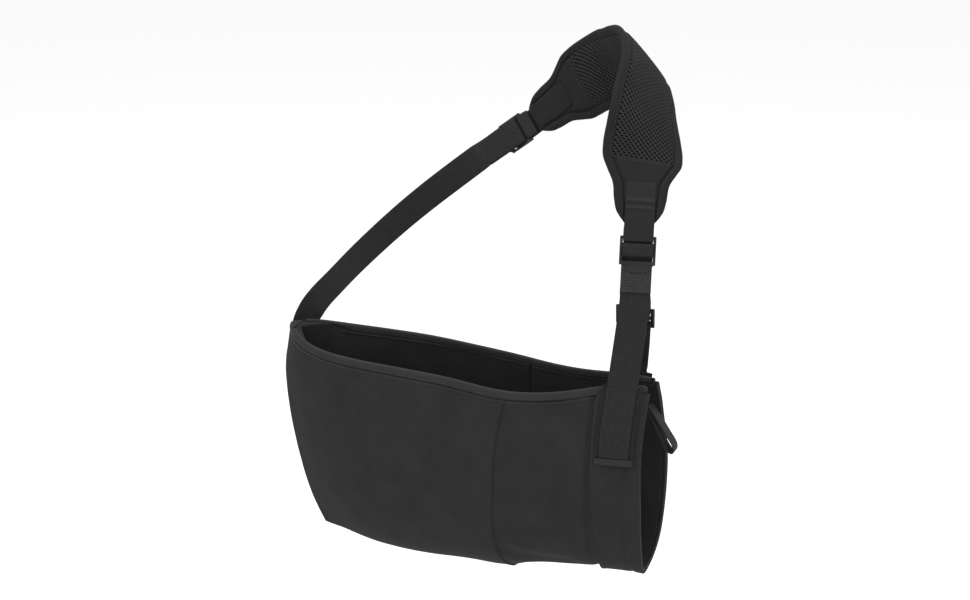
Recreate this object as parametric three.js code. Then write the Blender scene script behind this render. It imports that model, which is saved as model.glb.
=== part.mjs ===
// Arm sling with a padded shoulder strap, worn form, in millimetres with +Z up.
// +X runs from the elbow to the wrist and +Y from the front panel to the back panel.
// The origin is where the wearer's shoulder carries the pad, at the top of the strap loop.
import * as THREE from 'three';
import { mergeVertices } from 'three/addons/utils/BufferGeometryUtils.js';

// Pouch: a trough of padded fabric, closed at the elbow and open at the top and the wrist
const POUCH_LENGTH = 400;
const POUCH_DEPTH = 226;
const POUCH_HALF_WIDTH = 58;
const POUCH_WALL = 3;
const ELBOW_SEAM_WIDTH = 12;
const BELLY_HEIGHT = 0.45;

// Rim binding: a tape folded over the edge of each panel
const BINDING_DEPTH = 5.4;
const BINDING_TAPE = 1.2;
const BINDING_STAND_OFF = 0.4;
const CORNER_TAPE_LENGTH = 9;

// Cuff: a second layer turned round the wrist opening
const CUFF_WIDTH = 46;
const CUFF_WALL = 2.2;
const CUFF_LIP = 2.4;

// Webbing
const STRAP_WIDTH = 29;
const STRAP_THICKNESS = 1.6;
const PAD_WEBBING_WIDTH = 28.4;
const LEG_AT = 0.94;
const REAR_LEG_AT = 0.921;
const REAR_BACKING_RISE = 4;
const REAR_LEG_ROOM = 0.6;
const ELBOW_STRAP_AT = 0.028;
const LEG_SEWN_DEPTH = 73;
const REAR_LEG_SEWN_DEPTH = 40;
const ELBOW_STRAP_SEWN_DEPTH = 36;
const ELBOW_STRAP_ROOM = 1;
const WEBBING_ROOM = 0.4;
const TAIL_LENGTH = 30;
const JOIN_LENGTH = 18;
const JOIN_FOOT_ROOM = 1.4;
const BACKING_WIDTH = 38;
const REAR_BACKING_WIDTH = 44;
const BACKING_THICKNESS = 1;
const END_TAB_HEIGHT = 7;
const END_TAB_THICKNESS = 3;
const END_TAB_ROUNDING = 0.8;
const THUMB_RIBBON_WIDTH = 12;
const THUMB_RIBBON_THICKNESS = 1.2;
const THUMB_LOOP_LENGTH = 51;
const THUMB_LOOP_GAP = 6.8;
const THUMB_LOOP_ROOM = 1.7;
const THUMB_ROOT_GAP = 1;
const THUMB_LOOP_DROP = 55;
const THUMB_LOOP_ROOT = { along: 0.975, girth: 0.17 };

// Shoulder pad
const PAD_LENGTH = 374;
const PAD_WIDTH = 81;
const PAD_THICKNESS = 9;
const PAD_END_LENGTH = 71;
const PAD_WEBBING_LAP = 38;
const MESH_THICKNESS = 1.1;

// Ladder lock: top bar for the fixed webbing, middle bar and grip bar for the sliding one
const LOCK_WIDTH = 33.6;
const LOCK_THICKNESS = 3.2;
const LOCK_SLOT_WIDTH = 29.8;
const LOCK_TOP_BAR = 3.5;
const LOCK_TOP_SLOT = 5;
const LOCK_MIDDLE_BAR = 9;
const LOCK_LOWER_SLOT = 6;
const LOCK_GRIP_BAR = 4;
const LOCK_LIP = 7.5;
const LOCK_CORNER = 2;
const LOCK_TO_PAD = 12;

// Slider on the rear leg
const SLIDER_WIDTH = 38;
const SLIDER_BAR = 4;
const SLIDER_SLOT = 5.4;
const SLIDER_THICKNESS = 3;
const SLIDER_CORNER = 2;
const SLIDER_HEIGHT = 61;

// Strap loop: depth behind the pouch's elbow corner and height over it
const LOOP_DEPTH = 180;
const LOOP_HEIGHT = 290;

const CLEARANCE = 0.3;

// How finely each surface is cut
const GIRTH_STEPS = 13;
const ELBOW_STEPS = 16;
const ELBOW_CROWDING = 1.35;
const SLEEVE_STEPS = 9;
const CORNER_STEPS = 3;
const CUFF_STEPS = 4;
const SEWN_STEPS = 4;
const FREE_STEPS = 7;
const PAD_MIDDLE_STEPS = 12;

// Shares of the pouch's length, half width and depth, one row for each section from elbow to wrist.
// frontRim, backRim and bottom are measured down from the elbow corner.
const POUCH_SECTIONS = [
  { along: 0.0, rim: 0.0, belly: 0.0, frontRim: 0.0, backRim: 0.0, bottom: 0.98 },
  { along: 0.03, rim: 0.29, belly: 0.14, frontRim: 0.016, backRim: 0.006, bottom: 0.99 },
  { along: 0.07, rim: 0.47, belly: 0.34, frontRim: 0.04, backRim: 0.018, bottom: 1.0 },
  { along: 0.13, rim: 0.6, belly: 0.56, frontRim: 0.059, backRim: 0.03, bottom: 1.015 },
  { along: 0.22, rim: 0.68, belly: 0.78, frontRim: 0.069, backRim: 0.036, bottom: 1.028 },
  { along: 0.36, rim: 0.73, belly: 0.94, frontRim: 0.073, backRim: 0.042, bottom: 1.025 },
  { along: 0.5, rim: 0.75, belly: 1.0, frontRim: 0.08, backRim: 0.06, bottom: 1.01 },
  { along: 0.61, rim: 0.74, belly: 1.0, frontRim: 0.102, backRim: 0.074, bottom: 1.005 },
  { along: 0.68, rim: 0.71, belly: 0.97, frontRim: 0.104, backRim: 0.085, bottom: 0.963 },
  { along: 0.78, rim: 0.65, belly: 0.91, frontRim: 0.082, backRim: 0.087, bottom: 0.942 },
  { along: 0.89, rim: 0.54, belly: 0.84, frontRim: 0.036, backRim: 0.066, bottom: 0.922 },
  { along: 0.96, rim: 0.36, belly: 0.78, frontRim: 0.026, backRim: 0.046, bottom: 0.915 },
  { along: 1.0, rim: 0.17, belly: 0.73, frontRim: 0.04, backRim: 0.03, bottom: 0.915 },
];

// How far along the pouch its elbow edge and its wrist edge lie, by share of the depth
const POUCH_ENDS = [
  { down: 0.0, elbow: 0.0, wrist: 0.986 },
  { down: 0.25, elbow: -0.021, wrist: 0.988 },
  { down: 0.5, elbow: -0.008, wrist: 0.994 },
  { down: 0.75, elbow: 0.024, wrist: 0.994 },
  { down: 0.9, elbow: 0.055, wrist: 0.991 },
  { down: 1.0, elbow: 0.083, wrist: 0.982 },
];

// The upright seam between the elbow panels and the wrist panels, by share of depth and length
const PANEL_SEAM = [
  { down: 0.0, front: 0.655, back: 0.636 },
  { down: 0.45, front: 0.635, back: 0.625 },
  { down: 0.85, front: 0.61, back: 0.612 },
  { down: 1.0, front: 0.618, back: 0.618 },
];

// Half width and padding of the shoulder pad near each end, as shares of its full size
const PAD_END_SHAPE = [
  { fromEnd: 0.0, width: 0.35, padding: 0.4 },
  { fromEnd: 0.07, width: 0.45, padding: 0.43 },
  { fromEnd: 0.15, width: 0.54, padding: 0.46 },
  { fromEnd: 0.3, width: 0.61, padding: 0.5 },
  { fromEnd: 0.55, width: 0.68, padding: 0.55 },
  { fromEnd: 0.7, width: 0.82, padding: 0.65 },
  { fromEnd: 0.85, width: 0.96, padding: 0.85 },
  { fromEnd: 1.0, width: 1.0, padding: 1.0 },
];

// Padding across the pad from its middle line to its border, as shares of width and thickness
const PAD_CROWN = [
  { across: -1.0, height: 0.34 },
  { across: -0.8, height: 0.62 },
  { across: -0.42, height: 0.95 },
  { across: 0.0, height: 1.0 },
  { across: 0.42, height: 0.95 },
  { across: 0.8, height: 0.62 },
  { across: 1.0, height: 0.34 },
];
const MESH_BORDER_ROWS = 1;
const MESH_END_ROW = 6;
const MESH_INNER_REAR_ROW = 7;

// Centre line of the strap loop from the front lock over the shoulder to the elbow, as shares of
// the pouch's length and the loop's reach and height; yaw and roll turn the strap's width, in degrees
const LOOP_ROUTE = [
  { along: 0.935, behind: 0.013, up: 0.426, yaw: 23, roll: -2 },
  { along: 0.93, behind: 0.058, up: 0.516, yaw: 23, roll: 0 },
  { along: 0.919, behind: 0.146, up: 0.624, yaw: 24, roll: 4 },
  { along: 0.906, behind: 0.255, up: 0.721, yaw: 34, roll: 15 },
  { along: 0.886, behind: 0.412, up: 0.831, yaw: 46, roll: 30 },
  { along: 0.861, behind: 0.612, up: 0.918, yaw: 50, roll: 44 },
  { along: 0.813, behind: 0.812, up: 0.954, yaw: 38, roll: 51 },
  { along: 0.735, behind: 0.976, up: 0.905, yaw: 14, roll: 59 },
  { along: 0.648, behind: 1.043, up: 0.842, yaw: -33, roll: 54 },
  { along: 0.574, behind: 1.064, up: 0.759, yaw: -30, roll: 47 },
  { along: 0.504, behind: 1.064, up: 0.679, yaw: -27, roll: 46 },
  { along: 0.443, behind: 1.042, up: 0.611, yaw: -26, roll: 46 },
  { along: 0.341, behind: 0.977, up: 0.505, yaw: -8, roll: 49 },
  { along: 0.192, behind: 0.817, up: 0.334, yaw: 23, roll: 53 },
  { along: 0.1, behind: 0.571, up: 0.197, yaw: 39, roll: 56 },
  { along: 0.058, behind: 0.275, up: 0.101, yaw: 52, roll: 52 },
  { along: 0.038, behind: 0.155, up: 0.052, yaw: 52, roll: 30 },
];
const SHOULDER_ROW = 6;

const fabric = new THREE.MeshStandardMaterial({ color: 0x2c2d2f, roughness: 0.9, metalness: 0 });
const tape = new THREE.MeshStandardMaterial({ color: 0x3a3b3d, roughness: 0.85, metalness: 0 });
const webbing = new THREE.MeshStandardMaterial({ color: 0x2a2a2c, roughness: 0.8, metalness: 0 });
const padFabric = new THREE.MeshStandardMaterial({ color: 0x262729, roughness: 0.9, metalness: 0 });
const spacerMesh = new THREE.MeshStandardMaterial({ color: 0x1e1f20, roughness: 0.95, metalness: 0 });
const plastic = new THREE.MeshStandardMaterial({ color: 0x161617, roughness: 0.35, metalness: 0 });

const sling = new THREE.Group();

// Value of one column of a table where its key column has a given value, on a smooth curve
function columnAt(table, key, column, at) {
  const last = table.length - 2;
  const found = table.findIndex((entry) => entry[key] > at) - 1;
  const row = found < 0 ? (at <= table[0][key] ? 0 : last) : Math.min(found, last);
  const slope = (index) => {
    const before = table[Math.max(index - 1, 0)];
    const after = table[Math.min(index + 1, last + 1)];
    return (after[column] - before[column]) / (after[key] - before[key]);
  };
  const span = table[row + 1][key] - table[row][key];
  const t = (at - table[row][key]) / span;
  const [from, to] = [table[row][column], table[row + 1][column]];
  const start = from * (2 * t ** 3 - 3 * t ** 2 + 1) + slope(row) * span * (t ** 3 - 2 * t ** 2 + t);
  const end = to * (3 * t ** 2 - 2 * t ** 3) + slope(row + 1) * span * (t ** 3 - t ** 2);
  return start + end;
}

// A closed mesh from quads of points, turned outwards
function addSolid(name, quads, material) {
  const corners = [];
  for (const [a, b, c, d] of quads) corners.push(a, b, c, a, c, d);
  let positions = corners.flatMap((point) => [point.x, point.y, point.z]);
  let geometry = new THREE.BufferGeometry();
  geometry.setAttribute('position', new THREE.Float32BufferAttribute(positions, 3));
  geometry = mergeVertices(geometry);
  const index = geometry.getIndex().array;
  const at = geometry.getAttribute('position');
  const triangles = [];
  let volume = 0;
  for (let i = 0; i < index.length; i += 3) {
    const [p, q, r] = [index[i], index[i + 1], index[i + 2]];
    if (p === q || q === r || r === p) continue;
    triangles.push(p, q, r);
    const [u, v, w] = [p, q, r].map((k) => new THREE.Vector3().fromBufferAttribute(at, k));
    volume += u.dot(v.cross(w));
  }
  if (volume < 0) triangles.reverse();
  geometry.setIndex(triangles);
  geometry.computeVertexNormals();
  const mesh = new THREE.Mesh(geometry, material);
  mesh.name = name;
  sling.add(mesh);
  return mesh;
}

// Quads of the strip between two rows of points
function strip(first, second) {
  return first.slice(1).map((point, i) => [first[i], point, second[i + 1], second[i]]);
}

// A quad started one corner on, so that it is cut along its other diagonal
function turned([a, b, c, d]) {
  return [b, c, d, a];
}

// Quads of a skin over sections, each a ring of an even number of points listed as two facing chains.
// Both chains are cut along the same diagonals, so that a twisted wall keeps its thickness.
function skin(sections) {
  const facing = sections[0].length / 2;
  const quads = [];
  for (let i = 1; i < sections.length; i += 1) {
    const [before, after] = [sections[i - 1], sections[i]];
    const around = strip([...before, before[0]], [...after, after[0]]);
    quads.push(...around.map((quad, k) => (k < facing ? quad : turned(quad))));
  }
  const cap = (ring) => {
    const half = ring.length / 2;
    return strip(ring.slice(0, half), ring.slice(half).reverse());
  };
  quads.push(...cap(sections[0]).map((quad) => quad.reverse()));
  quads.push(...cap(sections[sections.length - 1]));
  return quads;
}

// A point of a frame, so far across it and so far out of it
function placed(frame, across, out) {
  return frame.at.clone().addScaledVector(frame.across, across).addScaledVector(frame.out, out);
}

// A frame at a point, its width turned square to the way along and its out side square to both
function frameOf(at, across, along) {
  const way = along.clone().normalize();
  const width = across.clone().addScaledVector(way, -across.dot(way)).normalize();
  return { at, across: width, along: way, out: width.clone().cross(way) };
}

// Frames on a smooth curve through rows that give a point and a width direction
function framesThrough(rows, cuts) {
  const line = new THREE.CatmullRomCurve3(rows.map((row) => row.at));
  const widths = new THREE.CatmullRomCurve3(rows.map((row) => row.across));
  const steps = (rows.length - 1) * cuts;
  return Array.from({ length: steps + 1 }, (_, i) => {
    const t = i / steps;
    return frameOf(line.getPoint(t), widths.getPoint(t), line.getTangent(t));
  });
}

// A flat strip of webbing along frames
function ribbon(frames, width, thickness) {
  const [w, t] = [width / 2, thickness / 2];
  return skin(frames.map((frame) => [
    placed(frame, -w, -t),
    placed(frame, w, -t),
    placed(frame, w, t),
    placed(frame, -w, t),
  ]));
}

// Share of the pouch's depth at a place round its girth
function downAt(girth) {
  return girth < 0.5
    ? BELLY_HEIGHT * 2 * girth
    : BELLY_HEIGHT - (1 - BELLY_HEIGHT) * Math.cos(Math.PI * girth);
}

// Pouch surface. girth runs from 0 at the rim over 0.5 at the belly to 1 at the bottom fold,
// side is -1 at the front and 1 at the back, and wall is the thickness taken off inside
function pouchPoint(along, girth, side, wall = 0) {
  const column = (name) => columnAt(POUCH_SECTIONS, 'along', name, along);
  const down = downAt(girth);
  const rim = column('rim') * POUCH_HALF_WIDTH - wall;
  const belly = column('belly') * POUCH_HALF_WIDTH - wall;
  const width = girth < 0.5
    ? rim + (belly - rim) * Math.sin(Math.PI * girth)
    : belly * Math.sin(Math.PI * girth);
  const top = -column(side < 0 ? 'frontRim' : 'backRim') * POUCH_DEPTH;
  const floorTop = -(columnAt(POUCH_SECTIONS, 'along', 'frontRim', along)
    + columnAt(POUCH_SECTIONS, 'along', 'backRim', along)) / 2 * POUCH_DEPTH;
  const start = THREE.MathUtils.lerp(top, floorTop, THREE.MathUtils.smoothstep(down, BELLY_HEIGHT, 1));
  const bottom = -column('bottom') * POUCH_DEPTH + (wall > 0 ? POUCH_WALL : 0);
  const elbow = columnAt(POUCH_ENDS, 'down', 'elbow', down) * POUCH_LENGTH;
  const wrist = columnAt(POUCH_ENDS, 'down', 'wrist', down) * POUCH_LENGTH;
  return new THREE.Vector3(
    THREE.MathUtils.lerp(elbow, wrist, along),
    side * Math.max(width, 0),
    THREE.MathUtils.lerp(start, bottom, down),
  );
}

// Frame on the pouch: across runs towards the wrist, along runs up the wall, out stands off it
function wallFrame(along, girth, side) {
  const step = 0.004;
  const at = pouchPoint(along, girth, side);
  const across = pouchPoint(along + step, girth, side).sub(pouchPoint(along - step, girth, side));
  const low = pouchPoint(along, Math.min(girth + step, 1), side);
  const high = pouchPoint(along, Math.max(girth - step, 0), side);
  const frame = frameOf(at, across, high.sub(low));
  if (side > 0) frame.out.negate();
  return frame;
}

// The pouch outline as rows of girth and side from the front rim round the bottom to the back rim
const girthRows = [];
for (let i = 0; i <= 2 * GIRTH_STEPS; i += 1) {
  const side = i < GIRTH_STEPS ? -1 : 1;
  girthRows.push({ girth: 1 - Math.abs(i / GIRTH_STEPS - 1), side });
}

function seamAt(girth, side) {
  return columnAt(PANEL_SEAM, 'down', side < 0 ? 'front' : 'back', downAt(girth));
}

const gapShare = CLEARANCE / 2 / POUCH_LENGTH;
const seamShare = ELBOW_SEAM_WIDTH / POUCH_LENGTH;
const innerSeamEnd = seamShare * 3.2;
const innerLeafStart = seamShare * 4.6;
const elbowShares = Array.from({ length: ELBOW_STEPS + 1 }, (_, i) => (i / ELBOW_STEPS) ** ELBOW_CROWDING);
const sleeveShares = Array.from({ length: SLEEVE_STEPS + 1 }, (_, i) => i / SLEEVE_STEPS);
const sleeveEnd = 1 - (CUFF_LIP + CLEARANCE) / POUCH_LENGTH;

// Wall left inside the elbow seam: full at its edge, thinning to the fabric's own
function wallAt(along, girth, side) {
  const width = Math.abs(pouchPoint(seamShare, girth, side).y);
  const fade = THREE.MathUtils.smoothstep(along, seamShare, innerSeamEnd);
  return THREE.MathUtils.lerp(Math.max(width, POUCH_WALL), POUCH_WALL, fade);
}

// Elbow part: both surfaces close on themselves at the elbow seam, so only three edges are filled
const elbowOuter = girthRows.map(({ girth, side }) => elbowShares.map((share) => (
  pouchPoint(share * (seamAt(girth, side) - gapShare), girth, side)
)));
const elbowInner = girthRows.map(({ girth, side }) => elbowShares.map((share) => {
  const along = THREE.MathUtils.lerp(seamShare, seamAt(girth, side) - gapShare, share);
  const inside = (way) => pouchPoint(along, girth, way, wallAt(along, girth, way));
  return share === 0 ? inside(-1).add(inside(1)).setY(0).multiplyScalar(0.5) : inside(side);
}));
const lastRow = girthRows.length - 1;
const elbowQuads = [
  ...strip(elbowOuter[0], elbowInner[0]),
  ...strip(elbowInner[lastRow], elbowOuter[lastRow]),
  ...strip(elbowInner.map((row) => row[ELBOW_STEPS]), elbowOuter.map((row) => row[ELBOW_STEPS])).map(
    (quad) => quad.reverse(),
  ),
];
for (let i = 1; i <= lastRow; i += 1) {
  elbowQuads.push(...strip(elbowOuter[i], elbowOuter[i - 1]));
  elbowQuads.push(...strip(elbowInner[i - 1], elbowInner[i]).map(turned));
}
addSolid('elbow_pouch', elbowQuads, fabric);

// Wrist part: a ring of outer and inner points for each row round the girth
addSolid('wrist_sleeve', skin(girthRows.map(({ girth, side }) => {
  const start = seamAt(girth, side) + gapShare;
  const alongs = sleeveShares.map((share) => THREE.MathUtils.lerp(start, sleeveEnd, share));
  return [
    ...alongs.map((along) => pouchPoint(along, girth, side)),
    ...alongs.map((along) => pouchPoint(along, girth, side, POUCH_WALL)).reverse(),
  ];
})), fabric);

// A frame at the rim whose along runs down the wall and whose out is level, as the wall's edge is
function rimFrame(along, side) {
  const frame = wallFrame(along, 0, side);
  frame.along.negate();
  frame.out.setZ(0).normalize();
  return frame;
}

// A point so far out of the rim and so far down the wall from it
function rimPoint(frame, out, down) {
  return frame.at.clone().addScaledVector(frame.out, out).addScaledVector(frame.along, down);
}

// Rim binding: a channel over the panel's edge, its inner leaf growing where the seam leaves room
const cornerShare = CORNER_TAPE_LENGTH / POUCH_LENGTH;
const bindingAlongs = (side) => [
  ...elbowShares.map((share) => Math.max(share * (seamAt(0, side) - gapShare), cornerShare)),
  ...sleeveShares.map((share) => THREE.MathUtils.lerp(seamAt(0, side) + gapShare, sleeveEnd, share)),
].filter((along, i, list) => i === 0 || along > list[i - 1] + 2 * gapShare);

function bindingRing(along, side) {
  const frame = rimFrame(along, side);
  const point = (out, down) => rimPoint(frame, out, down);
  const near = BINDING_STAND_OFF;
  const far = near + BINDING_TAPE;
  const inside = POUCH_WALL + CLEARANCE;
  const room = THREE.MathUtils.smoothstep(along, innerSeamEnd, innerLeafStart);
  const leaf = THREE.MathUtils.lerp(-CLEARANCE / 2, BINDING_DEPTH, room);
  return [
    point(far, BINDING_DEPTH),
    point(far, 0),
    point(near, -far),
    point(-inside, -far),
    point(-inside - BINDING_TAPE, -near),
    point(-inside - BINDING_TAPE, leaf),
    point(-inside, leaf),
    point(-inside, -near),
    point(-inside * 0.7, -near),
    point(-inside * 0.3, -near),
    point(near, -near),
    point(near, BINDING_DEPTH),
  ];
}
for (const [name, side] of [['front_rim_binding', -1], ['back_rim_binding', 1]]) {
  addSolid(name, skin(bindingAlongs(side).map((along) => bindingRing(along, side))), tape);
}

// Corner tape: the binding turned over the elbow seam, hugging both walls from outside
const cornerEnd = cornerShare - 2 * gapShare;
addSolid('elbow_corner_tape', skin(Array.from({ length: CORNER_STEPS + 1 }, (_, i) => {
  const along = THREE.MathUtils.lerp(cornerShare * 0.1, cornerEnd, i / CORNER_STEPS);
  const [front, back] = [rimFrame(along, -1), rimFrame(along, 1)];
  const far = CLEARANCE + BINDING_TAPE;
  return [
    rimPoint(front, far, BINDING_DEPTH),
    rimPoint(front, far, 0),
    rimPoint(front, CLEARANCE, -far),
    rimPoint(back, CLEARANCE, -far),
    rimPoint(back, far, 0),
    rimPoint(back, far, BINDING_DEPTH),
    rimPoint(back, CLEARANCE, BINDING_DEPTH),
    rimPoint(back, CLEARANCE, 0),
    rimPoint(back, CLEARANCE, -CLEARANCE),
    rimPoint(front, CLEARANCE, -CLEARANCE),
    rimPoint(front, CLEARANCE, 0),
    rimPoint(front, CLEARANCE, BINDING_DEPTH),
  ];
})), tape);

// Cuff: a layer outside the sleeve with a lip turned over the end of the wall
const cuffStart = 1 - CUFF_WIDTH / POUCH_LENGTH;
const cuffRows = girthRows.map(({ girth, side }) => {
  const rimGirth = (BINDING_DEPTH + 4 * CLEARANCE) / POUCH_DEPTH / BELLY_HEIGHT / 2;
  return { girth: THREE.MathUtils.lerp(rimGirth, 1, girth), side };
});
addSolid('wrist_cuff', skin(cuffRows.map(({ girth, side }) => {
  const standing = (along, out) => placed(wallFrame(along, girth, side), 0, out);
  const alongs = Array.from({ length: CUFF_STEPS + 1 }, (_, i) => (
    THREE.MathUtils.lerp(cuffStart, sleeveEnd, i / CUFF_STEPS)
  ));
  const lipStart = sleeveEnd + CLEARANCE / POUCH_LENGTH;
  const outside = 2 * CLEARANCE + CUFF_WALL;
  const lipInside = pouchPoint(lipStart, girth, side, POUCH_WALL);
  const tipInside = pouchPoint(1, girth, side, POUCH_WALL);
  return [
    ...alongs.map((along) => standing(along, outside)),
    standing(1, outside),
    tipInside,
    lipInside,
    standing(lipStart, 2 * CLEARANCE),
    ...alongs.map((along) => standing(along, 2 * CLEARANCE)).reverse(),
  ];
})), fabric);

// Rows of a strap that lies on the pouch wall from so far below the rim up to the rim
function sewnRows(along, side, depth, out, count) {
  return Array.from({ length: count }, (_, i) => {
    const down = depth * (1 - i / (count - 1));
    const frame = wallFrame(along, down / POUCH_DEPTH / BELLY_HEIGHT / 2, side);
    return { at: placed(frame, 0, out), across: frame.across };
  });
}

// The strap loop as one route, read by the distance from the front lock
const loopRows = LOOP_ROUTE.map((row) => {
  const [yaw, roll] = [row.yaw, row.roll].map(THREE.MathUtils.degToRad);
  return {
    at: new THREE.Vector3(row.along * POUCH_LENGTH, row.behind * LOOP_DEPTH, row.up * LOOP_HEIGHT),
    across: new THREE.Vector3(1, 0, 0).applyAxisAngle(new THREE.Vector3(0, 1, 0), roll)
      .applyAxisAngle(new THREE.Vector3(0, 0, 1), yaw),
  };
});
const loopLine = new THREE.CatmullRomCurve3(loopRows.map((row) => row.at));
const loopWidths = new THREE.CatmullRomCurve3(loopRows.map((row) => row.across));
loopLine.arcLengthDivisions = 600;

function loopFrame(distance) {
  const t = loopLine.getUtoTmapping(0, Math.max(distance, 1e-6));
  return frameOf(loopLine.getPoint(t), loopWidths.getPoint(t), loopLine.getTangent(t));
}

// Places along the loop, from the middle of the front lock
const lockTop = LOCK_MIDDLE_BAR / 2 + LOCK_TOP_SLOT + LOCK_TOP_BAR;
const padStart = lockTop + LOCK_TO_PAD;
const padEnd = padStart + PAD_LENGTH;
const rearLockAt = padEnd + LOCK_TO_PAD + lockTop;

// A row in a lock's own frame: up towards the pad and out from the wearer
function lockRow(lock, up, out) {
  const at = lock.at.clone().addScaledVector(lock.up, up).addScaledVector(lock.out, out);
  return { at, across: lock.across };
}

const frontFrame = loopFrame(0);
const rearFrame = loopFrame(rearLockAt);
const frontLock = { ...frontFrame, up: frontFrame.along.clone() };
const rearLock = { ...rearFrame, up: rearFrame.along.clone().negate() };

const half = STRAP_THICKNESS / 2;
const barOut = LOCK_THICKNESS / 2 + CLEARANCE + half;
const tailOut = -barOut;
const loadOut = tailOut - STRAP_THICKNESS - CLEARANCE;
const middleUp = LOCK_MIDDLE_BAR / 2 + CLEARANCE + half;
const gripTop = LOCK_MIDDLE_BAR / 2 + LOCK_LOWER_SLOT;

// The strap's way round the middle bar of a lock and down again as the tail
function lockWrap(lock) {
  return [
    lockRow(lock, 0, loadOut),
    lockRow(lock, middleUp * 0.62, loadOut * 0.9),
    lockRow(lock, middleUp + WEBBING_ROOM, tailOut * 0.55),
    lockRow(lock, middleUp + WEBBING_ROOM, barOut * 0.3),
    lockRow(lock, middleUp * 0.8, barOut),
    lockRow(lock, 0, barOut + CLEARANCE),
    lockRow(lock, -middleUp * 0.8, barOut),
    lockRow(lock, -middleUp - WEBBING_ROOM, barOut * 0.3),
    lockRow(lock, -middleUp - STRAP_THICKNESS, tailOut * 0.5),
    lockRow(lock, -gripTop, tailOut - CLEARANCE / 2),
    lockRow(lock, -gripTop - LOCK_GRIP_BAR, tailOut),
    lockRow(lock, -gripTop - TAIL_LENGTH * 0.5, tailOut),
    lockRow(lock, -gripTop - TAIL_LENGTH, tailOut),
  ];
}

// Outline of a lock or slider: a rounded plate with its slots, and a half-round lip if it has one
function roundedPlate(width, low, high, corner) {
  const shape = new THREE.Shape();
  const w = width / 2;
  shape.moveTo(-w + corner, low);
  shape.lineTo(w - corner, low);
  shape.absarc(w - corner, low + corner, corner, -Math.PI / 2, 0, false);
  shape.absarc(w - corner, high - corner, corner, 0, Math.PI / 2, false);
  shape.absarc(-w + corner, high - corner, corner, Math.PI / 2, Math.PI, false);
  shape.absarc(-w + corner, low + corner, corner, Math.PI, Math.PI * 1.5, false);
  return shape;
}

function slot(width, low, high) {
  const hole = new THREE.Path();
  hole.moveTo(-width / 2, low);
  hole.lineTo(-width / 2, high);
  hole.lineTo(width / 2, high);
  hole.lineTo(width / 2, low);
  hole.closePath();
  return hole;
}

function addPlate(name, shape, thickness, lock) {
  const options = { depth: thickness, bevelEnabled: false, curveSegments: 4 };
  const geometry = new THREE.ExtrudeGeometry(shape, options).translate(0, 0, -thickness / 2);
  const mesh = new THREE.Mesh(geometry, plastic);
  mesh.name = name;
  mesh.matrixAutoUpdate = false;
  mesh.matrix.makeBasis(lock.across, lock.up, lock.across.clone().cross(lock.up)).setPosition(lock.at);
  sling.add(mesh);
}

const lockLow = -gripTop - LOCK_GRIP_BAR;

function lockShape() {
  const shape = new THREE.Shape();
  const [w, lip] = [LOCK_WIDTH / 2, LOCK_SLOT_WIDTH / 2];
  shape.moveTo(-w, lockLow);
  shape.lineTo(-lip, lockLow);
  shape.absellipse(0, lockLow, lip, LOCK_LIP, Math.PI, 2 * Math.PI, false, 0);
  shape.lineTo(w, lockLow);
  shape.lineTo(w, lockTop - LOCK_CORNER);
  shape.lineTo(w - LOCK_CORNER, lockTop);
  shape.lineTo(-w + LOCK_CORNER, lockTop);
  shape.lineTo(-w, lockTop - LOCK_CORNER);
  shape.closePath();
  shape.holes.push(slot(LOCK_SLOT_WIDTH, LOCK_MIDDLE_BAR / 2, LOCK_MIDDLE_BAR / 2 + LOCK_TOP_SLOT));
  shape.holes.push(slot(LOCK_SLOT_WIDTH, -gripTop, -LOCK_MIDDLE_BAR / 2));
  return shape;
}
addPlate('front_ladder_lock', lockShape(), LOCK_THICKNESS, frontLock);
addPlate('rear_ladder_lock', lockShape(), LOCK_THICKNESS, rearLock);

// Front leg: sewn to the cuff, up to the front lock, round its bar and down as the tail
const backingOut = 3 * CLEARANCE + CUFF_WALL + BACKING_THICKNESS / 2;
const legOut = backingOut + BACKING_THICKNESS / 2 + CLEARANCE + half;
const legRows = sewnRows(LEG_AT, -1, LEG_SEWN_DEPTH, legOut, SEWN_STEPS + 1);
addSolid('front_leg_strap', ribbon(framesThrough([
  ...legRows,
  lockRow(frontLock, -gripTop - TAIL_LENGTH * 1.25, loadOut),
  lockRow(frontLock, -gripTop - TAIL_LENGTH, loadOut),
  lockRow(frontLock, -gripTop - LOCK_GRIP_BAR, loadOut),
  ...lockWrap(frontLock),
], 3), STRAP_WIDTH, STRAP_THICKNESS), webbing);

const backingRows = sewnRows(LEG_AT, -1, LEG_SEWN_DEPTH, backingOut, SEWN_STEPS + 1);
addSolid('leg_backing_strip', ribbon(framesThrough(backingRows, 3), BACKING_WIDTH, BACKING_THICKNESS), tape);

// End tab: a bar across the foot of the front leg
const tabFoot = LEG_SEWN_DEPTH + CLEARANCE + END_TAB_HEIGHT;
const tabRows = sewnRows(LEG_AT, -1, tabFoot, legOut + WEBBING_ROOM, Math.ceil(tabFoot / END_TAB_HEIGHT) + 1);
const tabFrames = framesThrough(tabRows.slice(0, 2), 1);
addSolid('leg_end_tab', skin(tabFrames.map((frame) => {
  const [w, t] = [BACKING_WIDTH / 2 - 1, END_TAB_THICKNESS / 2];
  return [
    placed(frame, -w, -t),
    placed(frame, w, -t),
    placed(frame, w + END_TAB_ROUNDING, 0),
    placed(frame, w, t),
    placed(frame, -w, t),
    placed(frame, -w - END_TAB_ROUNDING, 0),
  ];
})), tape);

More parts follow.
